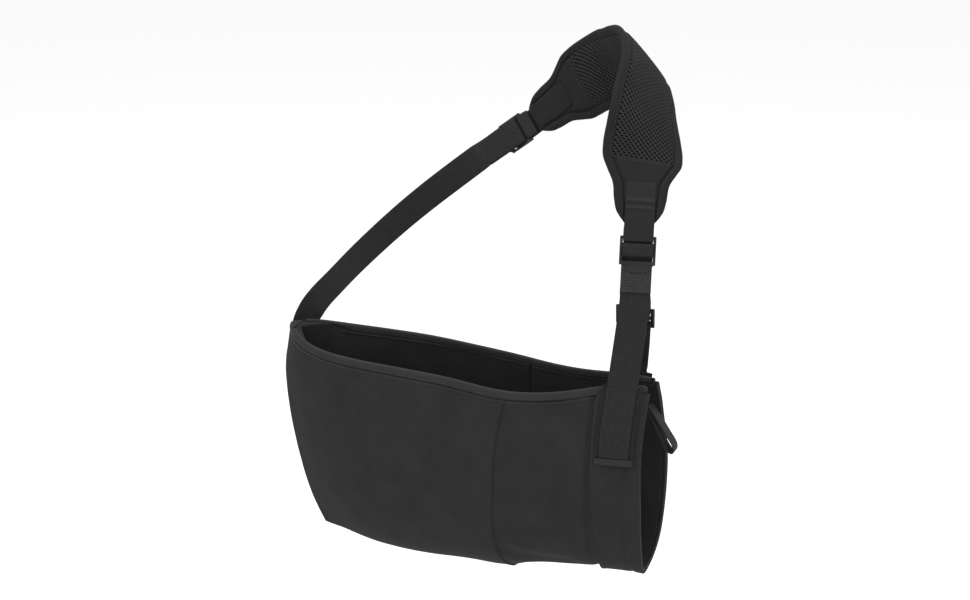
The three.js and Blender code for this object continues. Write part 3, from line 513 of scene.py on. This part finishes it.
def weave_group():
    """Rows of a ribbed weave from a position in metres, with a tone for each crossing."""
    group = bpy.data.node_groups.new("Webbing weave", "ShaderNodeTree")
    group.interface.new_socket("Vector", in_out="INPUT", socket_type="NodeSocketVector")
    group.interface.new_socket("Across", in_out="INPUT", socket_type="NodeSocketFloat")
    group.interface.new_socket("Along", in_out="INPUT", socket_type="NodeSocketFloat")
    group.interface.new_socket("Height", in_out="OUTPUT", socket_type="NodeSocketFloat")
    group.interface.new_socket("Fleck", in_out="OUTPUT", socket_type="NodeSocketFloat")
    nodes, links = group.nodes, group.links
    source, result = nodes.new("NodeGroupInput"), nodes.new("NodeGroupOutput")
    split = nodes.new("ShaderNodeSeparateXYZ")
    links.new(source.outputs["Vector"], split.inputs[0])

    def math_node(operation, first, second=None):
        made = nodes.new("ShaderNodeMath")
        made.operation = operation
        for socket, value in zip(made.inputs, (first, second)):
            if isinstance(value, (int, float)):
                socket.default_value = value
            elif value is not None:
                links.new(value, socket)
        return made.outputs[0]

    warp = math_node("DIVIDE", split.outputs["X"], source.outputs["Across"])
    column = math_node("FLOOR", warp)
    shift = math_node("MULTIPLY", column, 0.5)
    weft = math_node("ADD", math_node("DIVIDE", split.outputs["Y"], source.outputs["Along"]), shift)
    row = math_node("FLOOR", weft)
    rise = math_node("ABSOLUTE", math_node("SINE", math_node("MULTIPLY", weft, math.pi)))
    crown = math_node("ABSOLUTE", math_node("SINE", math_node("MULTIPLY", warp, math.pi)))
    height = math_node("MULTIPLY", rise, math_node("POWER", crown, 0.6))
    cell = nodes.new("ShaderNodeCombineXYZ")
    links.new(column, cell.inputs["X"])
    links.new(row, cell.inputs["Y"])
    tone = nodes.new("ShaderNodeTexWhiteNoise")
    links.new(cell.outputs[0], tone.inputs["Vector"])
    links.new(height, result.inputs["Height"])
    links.new(tone.outputs["Value"], result.inputs["Fleck"])
    return group


def webbing_material(name, colour, across=1.0 * MM, along=1.6 * MM, spread=0.3, depth=0.22 * MM,
                     roughness=0.62, shine=0.2):
    material = bpy.data.materials.new(name)
    material.use_nodes = True
    tree = material.node_tree
    surface = tree.nodes["Principled BSDF"]
    place = tree.nodes.new("ShaderNodeUVMap")
    place.uv_map = "Metres"
    weave = add_group(tree, WEBBING_WEAVE, place.outputs["UV"])
    weave.inputs["Across"].default_value = across
    weave.inputs["Along"].default_value = along
    tree.links.new(two_tone(tree, weave.outputs["Fleck"], 0, 1, colour, spread), surface.inputs["Base Color"])
    tree.links.new(bumped(tree, weave.outputs["Height"], depth), surface.inputs["Normal"])
    surface.inputs["Roughness"].default_value = roughness
    surface.inputs["Specular IOR Level"].default_value = shine
    surface.inputs["Sheen Weight"].default_value = 0.015
    return material


WEBBING_WEAVE = weave_group()
webbing = webbing_material("Webbing", WEBBING_COLOUR)
highlit_hem_webbing = webbing_material("Sewn webbing painted highlight", HEM_HIGHLIGHT_COLOUR)
HEM_LENGTH = 24 * MM
HEM_RIB = 2.7 * MM
HEM_HEIGHT_OF_RIB = 0.6 * MM


def hemmed(place, length):
    """Extra thickness of the cross ribs of a sewn tail end."""
    left = length - place
    return HEM_HEIGHT_OF_RIB * math.sin(math.pi * left / HEM_RIB) ** 2 if left < HEM_LENGTH else 0


def middle_of(node):
    """Middle of a CAD node's box."""
    spots = [vert.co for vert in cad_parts[node].data.vertices]
    return Vector([(min(s[k] for s in spots) + max(s[k] for s in spots)) / 2 for k in range(3)])


def foot_of(node):
    """A place far below a strap's sewn foot."""
    return middle_of(node) - Vector((0, 0, 1))


EDGE_SEAM = 2.2 * MM
FOOT_SEAM = 66 * MM
for name, node, foot in (
    ("front_leg", "front_leg_strap", FOOT_SEAM),
    ("elbow_webbing", "elbow_strap", 34 * MM),
    ("rear_leg", "rear_leg_strap", 38 * MM),
):
    strap = Strap(node, foot_of(node))
    hem = (lambda place, length=strap.length: hemmed(place, length)) if name != "rear_leg" else None
    piece = strap.piece(name, node, webbing, "webbing", hem)
    # The sewn tail end of each hemmed strap takes the lighter webbing, its painted highlight.
    piece.data.materials.append(highlit_hem_webbing)
    for polygon in piece.data.polygons if hem else ():
        place = piece.data.uv_layers["Metres"].data[polygon.loop_start].uv[1]
        polygon.material_index = int(place > strap.length - HEM_LENGTH)
    side = strap.width / 2 - EDGE_SEAM
    for lift in (0.05 * MM, -0.05 * MM):
        strap.sew(stitches, [
            (foot, -side, lift), (EDGE_SEAM, -side, lift), (EDGE_SEAM, side, lift), (foot, side, lift),
            (foot, -side, lift),
        ])

# Pad webbings: smoother webbing folded round the top bar of each lock and sewn down on the pad's
# narrow end with a box of stitches, the layers under it showing as soft ridges.
tab_webbing = webbing_material("Smooth webbing", (0.0072, 0.0073, 0.0076), along=0.9 * MM, spread=0.12,
                               depth=0.05 * MM, roughness=0.55, shine=0.2)
TAB_RIDGES = ((18 * MM, 2.2 * MM), (25 * MM, 1.8 * MM))
TAB_RIDGE_HEIGHT = 1.1 * MM
TAB_FOLD_THICKENING = 0.45 * MM
for side in ("front", "rear"):
    node = f"pad_{side}_webbing"
    strap = Strap(node, middle_of("shoulder_pad"))
    lowest = min(range(len(strap.along)), key=lambda k: (Vector(strap.rows[k][:3]) - middle_of(f"{side}_ladder_lock")).length)
    fold = strap.along[lowest]
    strap.piece(f"pad_{side}_tab", node, tab_webbing, "webbing", lambda place: TAB_RIDGE_HEIGHT * sum(
        math.exp(-(((place - spot) / width) ** 2)) for spot, width in TAB_RIDGES
    ) + TAB_FOLD_THICKENING * math.exp(-(((place - fold) / (3 * MM)) ** 2)))
    edge = strap.width / 2 - EDGE_SEAM
    for lift in (0.05 * MM, -0.05 * MM):
        low, high = 2.5 * MM, 14 * MM
        strap.sew(stitches, [(low, -edge, lift), (low, edge, lift), (high, edge, lift), (high, -edge, lift),
                             (low, -edge, lift), (high, edge, lift)])
        strap.sew(stitches, [(low, edge, lift), (high, -edge, lift)])

# Tapes under the legs' feet and the bar across the front foot: a tape painted darker, as painted shade beside the strap
# over it, and the binding's, sewn flat.
shaded_backing_cloth = cloth_material("Backing tape painted shade", BACKING_SHADE_COLOUR, fibre=0.1 * MM, roughness=0.85)
for name, node in (("front_backing", "leg_backing_strip"), ("rear_backing", "rear_backing_strip")):
    strap = Strap(node, foot_of(node))
    strap.piece(name, node, shaded_backing_cloth, "binding_tape")
smoothed("leg_end_tab", "foot_bar", 3, tape_cloth, hard=0.35, soft=0.1)

# Thumb loop: a narrow ribbon doubled back on itself, its ends sewn inside the wrist opening.
strap = Strap("thumb_loop", middle_of("thumb_loop"))
strap.piece("thumb_ribbon", "thumb_loop", tape_cloth, "binding_tape", spread=1.12)

# Shoulder pad: foam in black fabric with a rolled and sewn border. Its narrow ends carry the webbing
# of the locks under a raised patch, and the rest of both faces is an open spacer mesh.
PAD_COLOUR = (0.0155, 0.0156, 0.016)
PAD_STEP = 1.2 * MM
PAD_BORDER = 9 * MM
PATCH_HALF_WIDTH = 15 * MM
NARROWEST_BORDER = 2 * MM
ROLL_HEIGHT = 3.3 * MM
GROOVE_FLOOR = 1.2 * MM
GROOVE_WIDTH = 1.6 * MM
PATCH_RISE = 1.5 * MM
END_ROUNDING = 4 * MM
MESH_FROM_END = {1: (60.4 * MM, 60.4 * MM), -1: (60.4 * MM, 71 * MM)}
BORDER_COLUMNS = 10
INSIDE_COLUMNS = 26


def pad_rows():
    """Rows of the pad's middle layer: centre, across and out vectors, half width and half thickness."""
    rings = rings_of("shoulder_pad", 14)
    if (rings[0][0] - middle_of("front_ladder_lock")).length > (rings[-1][0] - middle_of("front_ladder_lock")).length:
        rings = rings[::-1]
    middle = rings[len(rings) // 2]
    first = min(range(14), key=lambda k: (middle[(k + 6) % 14] - middle[(k + 7) % 14]).length
                + (middle[k] - middle[(k + 13) % 14]).length)
    rows = []
    for ring in rings:
        ring = ring[first:] + ring[:first]
        low, high = ring[:7], ring[13:6:-1]
        across, out = (low[6] + high[6] - low[0] - high[0]) / 2, high[3] - low[3]
        rows.append([*(low[3] + high[3]) / 2, *across.normalized(), *out.normalized(),
                     across.length / 2, out.length / 2])
    rows = np.array(rows)
    if rows[np.argmax(rows[:, 2]), 8] < 0:
        rows[:, 6:9] *= -1
    return smooth_rows(rows, PAD_STEP)


PAD_ROWS, PAD_AT = pad_rows()
PAD_LENGTH = PAD_AT[-1]


def pad_value(at, column):
    return np.interp(at, PAD_AT, PAD_ROWS[:, column])


def border_at(at):
    """Width of the rolled border, narrower where the webbing's patch leaves less room."""
    return np.clip(pad_value(at, 9) - PATCH_HALF_WIDTH, NARROWEST_BORDER, PAD_BORDER)


def eased(value):
    value = np.clip(value, 0, 1)
    return value * value * (3 - 2 * value)


def inside_height(at, across, face):
    """Height of the crowned foam inside the border, its patches raised at the pad's ends."""
    half, thick = pad_value(at, 9), pad_value(at, 10)
    crown = thick * (0.34 + 0.66 * (1 - np.clip(np.abs(across) / half, 0, 1) ** 2.6))
    front, rear = MESH_FROM_END[face]
    crown += PATCH_RISE * (1 - eased((at - front) / MM) * eased((PAD_LENGTH - rear - at) / MM))
    if face < 0:
        for end in (0, PAD_LENGTH):
            corner = 5 * MM
            q = np.maximum(np.abs(across) - 15.5 * MM + corner, 0)
            p = np.maximum(np.abs(at - end) - 50 * MM + corner, 0)
            off = np.hypot(p, q) - corner
            crown += 1.1 * MM * eased(-off / MM) - 1.2 * MM * np.exp(-((off / (1.1 * MM)) ** 2))
    inward = half - np.abs(across) - border_at(at)
    return crown - (crown - GROOVE_FLOOR) * np.exp(-((np.clip(inward, 0, 1) / GROOVE_WIDTH) ** 2))


def pad_height(at, across, face):
    """Height of one whole face over the pad's middle layer, border roll and end rounding included."""
    from_edge = pad_value(at, 9) - np.abs(across)
    border = border_at(at)
    roll_top = np.minimum(ROLL_HEIGHT, border * 0.55)
    spot = np.clip(from_edge / border * 2 - 1, -1, 1)
    arch = np.sqrt(np.clip(1 - spot ** 2, 0, 1))
    floor = np.where(spot > 0, np.minimum(GROOVE_FLOOR, roll_top * 0.6), 0)
    height = np.where(from_edge < border, floor + (roll_top - floor) * arch, inside_height(at, across, face))
    end = np.clip(np.minimum(at, PAD_LENGTH - at) / END_ROUNDING, 0, 1)
    return height * np.sqrt(1 - (1 - end) ** 2)


def on_pad(at, across, height):
    """Points so far along the pad, across it and out of its middle layer."""
    at, across, height = np.broadcast_arrays(at, across, height)
    row = np.stack([pad_value(at, k) for k in range(9)], axis=-1)
    return row[..., :3] + across[..., None] * row[..., 3:6] + height[..., None] * row[..., 6:9]


def mesh_of(points, faces):
    """A bmesh from points and faces, with touching corners joined."""
    data = bpy.data.meshes.new("draft")
    data.from_pydata(points.tolist(), [], faces)
    mesh = bmesh.new()
    mesh.from_mesh(data)
    bpy.data.meshes.remove(data)
    bmesh.ops.remove_doubles(mesh, verts=mesh.verts, dist=0.01 * MM)
    return mesh


def pad_columns(at):
    """Offsets across the pad from one border to the other, closer together over the rolls."""
    half, border = pad_value(at, 9), border_at(at)
    rolls = (1 - np.cos(np.linspace(0, math.pi, BORDER_COLUMNS + 1))) / 2
    inside = np.linspace(0, 1, INSIDE_COLUMNS + 1)[1:]
    right = np.concatenate([half - border * rolls[:, None], (half - border) * (1 - inside[:, None])])
    return np.concatenate([-right, right[-2::-1]]).T


at = PAD_AT[:, None]
columns = pad_columns(PAD_AT)
outer = on_pad(at, columns, pad_height(at, columns, 1))
inner = on_pad(at, columns, -pad_height(at, columns, -1))[:, -2:0:-1]
around = np.concatenate([outer, inner], axis=1)
rows, count = around.shape[:2]
faces = [(k * count + i, k * count + (i + 1) % count, (k + 1) * count + (i + 1) % count, (k + 1) * count + i)
         for k in range(rows - 1) for i in range(count)]
pad_cloth = cloth_material("Pad fabric", PAD_COLOUR)
pad_body = add_piece("pad_body", mesh_of(around.reshape(-1, 3), faces), pad_cloth, "shoulder_pad")

# Spacer mesh: an open knit of staggered oval holes between soft, rounded threads, each hole closed by a floor painted
# near black as painted shade of the knit's inside.
NET_COLOUR = (0.0235, 0.0237, 0.0243)
HOLE_SHADE_COLOUR = (0.002, 0.002, 0.0021)
CELL_ACROSS = 5.0 * MM
CELL_ALONG = 2.5 * MM
HOLE_HALF_WIDTH = 1.75 * MM
HOLE_HALF_HEIGHT = 0.98 * MM
HOLE_SLANT = math.radians(-15)
THREAD_TOP = 1.35 * MM
THREAD_ROUND = 0.3 * MM
HOLE_DEPTH = 1.0 * MM


def net(face):
    """The knit over one face of the pad, its edges buried in the border rolls and the end patches."""
    front, rear = MESH_FROM_END[face]
    low, high = front - MM, PAD_LENGTH - rear + MM
    turn = np.radians([90, 35, 0, -35, -90, -145, 180, 145])
    shape = np.array([(0, 2 / 3), (0.5, 1 / 3), (0.5, 0), (0.5, -1 / 3), (0, -2 / 3), (-0.5, -1 / 3), (-0.5, 0),
                      (-0.5, 1 / 3)]) * (CELL_ACROSS, CELL_ALONG)
    x, y = HOLE_HALF_WIDTH * np.cos(turn), HOLE_HALF_HEIGHT * np.sin(turn)
    hole = np.stack([x * math.cos(HOLE_SLANT) - y * math.sin(HOLE_SLANT),
                     x * math.sin(HOLE_SLANT) + y * math.cos(HOLE_SLANT)], axis=1)
    rings = (
        (shape, THREAD_TOP),
        (hole * 1.18, THREAD_TOP - THREAD_ROUND * 0.35),
        (hole, THREAD_TOP - THREAD_ROUND * 1.3),
        (hole * 0.92, THREAD_TOP - HOLE_DEPTH),
    )
    points, faces = [], []
    for j in range(int((high - low) / CELL_ALONG) + 1):
        place = low + j * CELL_ALONG
        reach = pad_value(place, 9) - border_at(place)
        for i in range(-12, 13):
            across = (i + (j % 2) / 2) * CELL_ACROSS
            if abs(across) > reach + CELL_ACROSS * 0.55:
                continue
            base = len(points) * 8
            for corners, lift in rings:
                points.append(np.column_stack([place + corners[:, 1], across + corners[:, 0], np.full(8, lift)]))
            for ring in range(3):
                for k in range(8):
                    a, b = base + ring * 8 + k, base + ring * 8 + (k + 1) % 8
                    faces.append((a, b, b + 8, a + 8))
            # The hole's floor: a flat face that carries the near-black painted shade of the knit's inside.
            faces.append([base + 24 + k for k in range(8)])
    spots = np.concatenate(points)
    height = inside_height(spots[:, 0], spots[:, 1], face) + spots[:, 2]
    patch = PATCH_RISE * (1 - eased((spots[:, 0] - front) / MM) * eased((PAD_LENGTH - rear - spots[:, 0]) / MM))
    return mesh_of(on_pad(spots[:, 0], spots[:, 1], face * (height - patch)), faces)


net_cloth = cloth_material("Spacer mesh", NET_COLOUR, fibre=0.16 * MM)
hole_shade_cloth = cloth_material("Spacer hole shade", HOLE_SHADE_COLOUR, fibre=0.16 * MM)
for face, name in ((1, "outer"), (-1, "inner")):
    knit = add_piece(f"spacer_{name}", net(face), net_cloth, f"pad_mesh_{name}")
    knit.data.materials.append(hole_shade_cloth)
    for polygon in knit.data.polygons:
        # The eight-cornered hole floors take the near-black painted shade.
        polygon.material_index = int(len(polygon.vertices) == 8)
    front, rear = MESH_FROM_END[face]
    run = np.linspace(6 * MM, PAD_LENGTH - 6 * MM, 200)
    for side in (-1, 1):
        across = side * (pad_value(run, 9) - border_at(run) + 1.8 * MM)
        height = pad_height(run, across, face)
        stitch_line(stitches, on_pad(run, across, face * height), face * np.stack(
            [pad_value(run, k) for k in (6, 7, 8)], axis=1
        ))
    for place in (front - 2.4 * MM, PAD_LENGTH - rear + 2.4 * MM):
        across = np.linspace(-1, 1, 30) * (pad_value(place, 9) - border_at(place) - 3 * MM)
        height = pad_height(place, across, face)
        out = face * np.array([pad_value(place, k) for k in (6, 7, 8)])
        stitch_line(stitches, on_pad(place, across, face * height), [out] * 30)

# Ladder locks and slider: smooth black moulded plastic. A lock is two rails with a round top bar, a
# broad middle bar, a grip bar and a half-round lip that lifts it. The slider has three equal bars.
PLASTIC_COLOUR = (0.006, 0.006, 0.0063)
LOCK_RAIL_LENGTH = 27.5 * MM
SLOT_WIDTH = 29.8 * MM


def plastic_material():
    material = bpy.data.materials.new("Moulded plastic")
    material.use_nodes = True
    tree = material.node_tree
    surface = tree.nodes["Principled BSDF"]
    place = tree.nodes.new("ShaderNodeTexCoord")
    grain = add_group(tree, FABRIC_GRAIN, place.outputs["Object"])
    tree.links.new(two_tone(tree, grain.outputs["Fleck"], 0.45, 1.05, PLASTIC_COLOUR, 0.1), surface.inputs["Base Color"])
    tree.links.new(bumped(tree, grain.outputs["Height"], 0.02 * MM), surface.inputs["Normal"])
    surface.inputs["Roughness"].default_value = 0.3
    surface.inputs["Specular IOR Level"].default_value = 0.3
    return material


def plate_place(node):
    """Where a flat CAD plate lies: its middle bar's centre, x across, y up and z out of its outer face."""
    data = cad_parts[node].data
    normal = max(data.polygons, key=lambda polygon: polygon.area).normal.copy()
    slots = []
    for edge in data.edges:
        a, b = (data.vertices[k].co for k in edge.vertices)
        if abs((a - b).length - SLOT_WIDTH) < 0.02 * MM:
            slots.append(((a + b) / 2, (b - a).normalized()))
    across = slots[0][1]
    if normal.dot(middle_of(node) - middle_of("elbow_strap")) < 0:
        normal = -normal
    up = normal.cross(across)
    levels = sorted({round(spot.dot(up) / MM, 1) for spot, way in slots})
    if levels[1] - levels[0] < levels[3] - levels[2]:
        up, across = -up, -across
        levels = [-level for level in reversed(levels)]
    spots = [vert.co for vert in data.vertices]
    middle = [(min(s.dot(way) for s in spots) + max(s.dot(way) for s in spots)) / 2 for way in (across, normal)]
    centre = across * middle[0] + normal * middle[1] + up * (levels[1] + levels[2]) / 2 * MM
    return Matrix((across, up, normal)).transposed().to_4x4(), centre


def start_edit():
    bpy.ops.object.mode_set(mode="EDIT")
    bpy.ops.mesh.select_all(action="SELECT")


def bar(place, size, corner):
    """A rounded bar: a cube stretched in edit mode, its edges bevelled, and moved to its place."""
    bpy.ops.object.select_all(action="DESELECT")
    bpy.ops.mesh.primitive_cube_add(size=1)
    start_edit()
    bpy.ops.transform.resize(value=[length * MM for length in size], center_override=(0, 0, 0))
    bpy.ops.mesh.bevel(offset=corner * MM, segments=4, affect="EDGES")
    bpy.ops.mesh.select_all(action="SELECT")
    bpy.ops.transform.translate(value=[length * MM for length in place])
    bpy.ops.object.mode_set(mode="OBJECT")
    return bpy.context.object


def lip(place, half_width, reach, thickness, tilt):
    """A half-round plate: a cylinder flattened and cut in half in edit mode, bevelled and tilted outwards."""
    bpy.ops.object.select_all(action="DESELECT")
    bpy.ops.mesh.primitive_cylinder_add(vertices=56, radius=half_width * MM, depth=thickness * MM)
    start_edit()
    bpy.ops.transform.resize(value=(1, reach / half_width, 1), center_override=(0, 0, 0))
    bpy.ops.mesh.bisect(plane_co=(0, 0.5 * MM, 0), plane_no=(0, 1, 0), use_fill=True, clear_outer=True)
    bpy.ops.mesh.select_all(action="SELECT")
    bpy.ops.mesh.bevel(offset=0.45 * MM, segments=2, affect="EDGES")
    bpy.ops.mesh.select_all(action="SELECT")
    bpy.ops.transform.rotate(value=math.radians(tilt), orient_axis="X", center_override=(0, 0, 0))
    bpy.ops.transform.translate(value=[length * MM for length in place])
    bpy.ops.object.mode_set(mode="OBJECT")
    return bpy.context.object


def joined(parts):
    bpy.ops.object.select_all(action="DESELECT")
    for part in parts:
        part.select_set(True)
    bpy.context.view_layer.objects.active = parts[0]
    bpy.ops.object.join()
    return parts[0]


def settle(piece, name, node):
    """Turns a finished plastic piece into its CAD plate's place and hands it over."""
    turn, centre = plate_place(node)
    piece.name = name
    piece.data.name = name
    bpy.ops.object.select_all(action="DESELECT")
    piece.select_set(True)
    bpy.context.view_layer.objects.active = piece
    piece.matrix_world = Matrix.Translation(centre) @ turn
    bpy.ops.object.transform_apply(location=True, rotation=True, scale=True)
    bpy.ops.object.shade_smooth_by_angle(angle=math.radians(40))
    piece.data.materials.clear()
    piece.data.materials.append(plastic)
    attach(piece, "root")
    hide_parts(node)


plastic = plastic_material()
lock = joined([
    bar((-15.85, -0.75, 0), (2.6, 27.5, 3.4), 1.0),
    bar((15.85, -0.75, 0), (2.6, 27.5, 3.4), 1.0),
    bar((0, 11.4, 0), (33.2, 3.2, 3.0), 1.2),
    bar((0, 0.3, 0), (30.4, 9.4, 2.4), 0.8),
    bar((0, -12.5, 0.2), (33.2, 3.8, 3.4), 1.2),
    lip((0, -14.0, 0.4), 14.9, 7.8, 1.8, -14),
])
rear_lock = lock.copy()
rear_lock.data = lock.data.copy()
bpy.context.scene.collection.objects.link(rear_lock)
slider = joined([
    bar((-16.95, 0, 0), (4.1, 22.8, 3.0), 1.2),
    bar((16.95, 0, 0), (4.1, 22.8, 3.0), 1.2),
    bar((0, 9.4, 0), (34, 3.8, 2.9), 1.1),
    bar((0, 0, 0), (34, 3.8, 2.9), 1.1),
    bar((0, -9.4, 0), (34, 3.8, 2.9), 1.1),
])
settle(lock, "front_lock", "front_ladder_lock")
settle(rear_lock, "rear_lock", "rear_ladder_lock")
settle(slider, "slider", "leg_slider")

# Stitching of the pouch: rows along the binding and on the cuff, with the binding's flat lower edges laid below it.
AXIS = np.array((-0.146, -0.38))


def edge_path(node, count, towards):
    """Outer points along one upright edge of a ringed CAD wall, towards -1 for the elbow end."""
    path = []
    for ring in rings_of(node, count):
        ends = sorted(ring, key=lambda point: point.x * towards)[-2:]
        path.append(max(ends, key=lambda point: np.linalg.norm(np.array(point)[1:] - AXIS)))
    return np.array(path)


def laid(mesh, path, tree, shift=(0, 0, 0), **sizes):
    """A stitch line along a path moved by a shift and laid on a surface."""
    spots, outs = [], []
    for point in spaced(np.array(path) + shift, 2 * MM):
        spot, normal, face, away = tree.find_nearest(point)
        if away < 4 * MM:
            spots.append(spot)
            outs.append(normal)
    if len(spots) > 2:
        stitch_line(mesh, spots, outs, **sizes)


def surface_of(piece):
    return BVHTree.FromPolygons([v.co for v in piece.data.vertices], [tuple(p.vertices) for p in piece.data.polygons])


HEM_DROP = 2.9 * MM
HEM_HALF_WIDTH = 1.35 * MM
HEM_HEIGHT = 0.75 * MM


def hem(mesh, line, tree):
    """The flat lower edge of a binding, a low rounded strip laid on the panel below the rolled tape."""
    rings = []
    for point in spaced(line, 3 * MM):
        spot, normal, face, away = tree.find_nearest(point - np.array((0, 0, HEM_DROP)))
        if away > 4 * MM:
            continue
        down = Vector((0, 0, -1))
        down = (down - normal * down.dot(normal)).normalized()
        rings.append([
            mesh.verts.new(spot + down * HEM_HALF_WIDTH * wide + normal * HEM_HEIGHT * high)
            for wide, high in ((-1, -0.6), (-0.9, 0.5), (-0.4, 0.95), (0.4, 0.95), (0.9, 0.5), (1, -0.6))
        ])
    for low, high in zip(rings, rings[1:]):
        for k in range(6):
            mesh.faces.new((low[k - 1], low[k], high[k], high[k - 1]))
    if len(rings) > 1:
        mesh.faces.new(rings[0])
        mesh.faces.new(rings[-1][::-1])


hems = bmesh.new()
elbow_surface, sleeve_surface, cuff_surface = surface_of(elbow), surface_of(sleeve), surface_of(cuff)
for panel, way in (("front", -1), ("back", 1)):
    rings = sorted(rings_of(f"{panel}_rim_binding", 12), key=lambda ring: ring[0].x)
    outside = np.array([max(ring, key=lambda p: p.y * way - p.z) for ring in rings])
    inside = np.array([max(ring, key=lambda p: -p.y * way - p.z) for ring in rings])
    tape_surface = surface_of(bpy.data.objects[f"{panel}_binding_tape"])
    for line in (outside, inside):
        laid(stitches, line, tape_surface, (0, 0, 1.1 * MM), length=2.2 * MM, gap=0.9 * MM, radius=0.26 * MM)
        for surface in (elbow_surface, sleeve_surface):
            hem(hems, line, surface)
wrist_path = edge_path("wrist_cuff", 14, 1)
laid(stitches, wrist_path, cuff_surface, (-12.5 * MM, 0, 0), radius=0.24 * MM)
add_piece("binding_hems", hems, tape_cloth)
add_piece("stitching", stitches, thread)

# Camera where the photograph was taken from, and soft studio light over a plain pale floor.
CAMERA_AZIMUTH = 23
CAMERA_ELEVATION = 19
camera_data = bpy.data.cameras.new("Camera")
camera_data.lens = 67.18
camera_data.sensor_width = 36
camera = bpy.data.objects.new("Camera", camera_data)
camera.location = (0.5519, -1.6969, 0.3615)
camera.rotation_euler = (math.radians(90 - CAMERA_ELEVATION), 0, math.radians(CAMERA_AZIMUTH))
bpy.context.scene.collection.objects.link(camera)
bpy.context.scene.camera = camera

FLOOR_LEVEL = -1.3
bpy.ops.mesh.primitive_plane_add(size=40, location=(0, 0, FLOOR_LEVEL))
floor = bpy.context.object
floor.name = "Floor"
floor_paint = bpy.data.materials.new("Floor paint")
floor_paint.use_nodes = True
floor_surface = floor_paint.node_tree.nodes["Principled BSDF"]
floor_surface.inputs["Base Color"].default_value = (0.93, 0.93, 0.93, 1)
floor_surface.inputs["Roughness"].default_value = 0.9
floor.data.materials.append(floor_paint)


def soft_box(name, place, size, power):
    """A large square light turned to the middle of the sling."""
    lamp = bpy.data.lights.new(name, "AREA")
    lamp.energy = power
    lamp.size = size
    light = bpy.data.objects.new(name, lamp)
    light.location = place
    light.rotation_euler = (Vector((-0.1, -0.1, -0.25)) - Vector(place)).to_track_quat("-Z", "Y").to_euler()
    bpy.context.scene.collection.objects.link(light)


soft_box("Key light", (-1.6, -1.8, 2.2), 1.8, 42)
soft_box("Fill light", (2.4, -1.6, 1.0), 2.0, 16)
soft_box("Top light", (0.2, 0.6, 2.6), 2.2, 50)
world = bpy.data.worlds.new("Studio")
world.use_nodes = True
world.node_tree.nodes["Background"].inputs["Color"].default_value = (1, 1, 1, 1)
world.node_tree.nodes["Background"].inputs["Strength"].default_value = 1.0
bpy.context.scene.world = world
bpy.context.scene.view_settings.view_transform = "Standard"
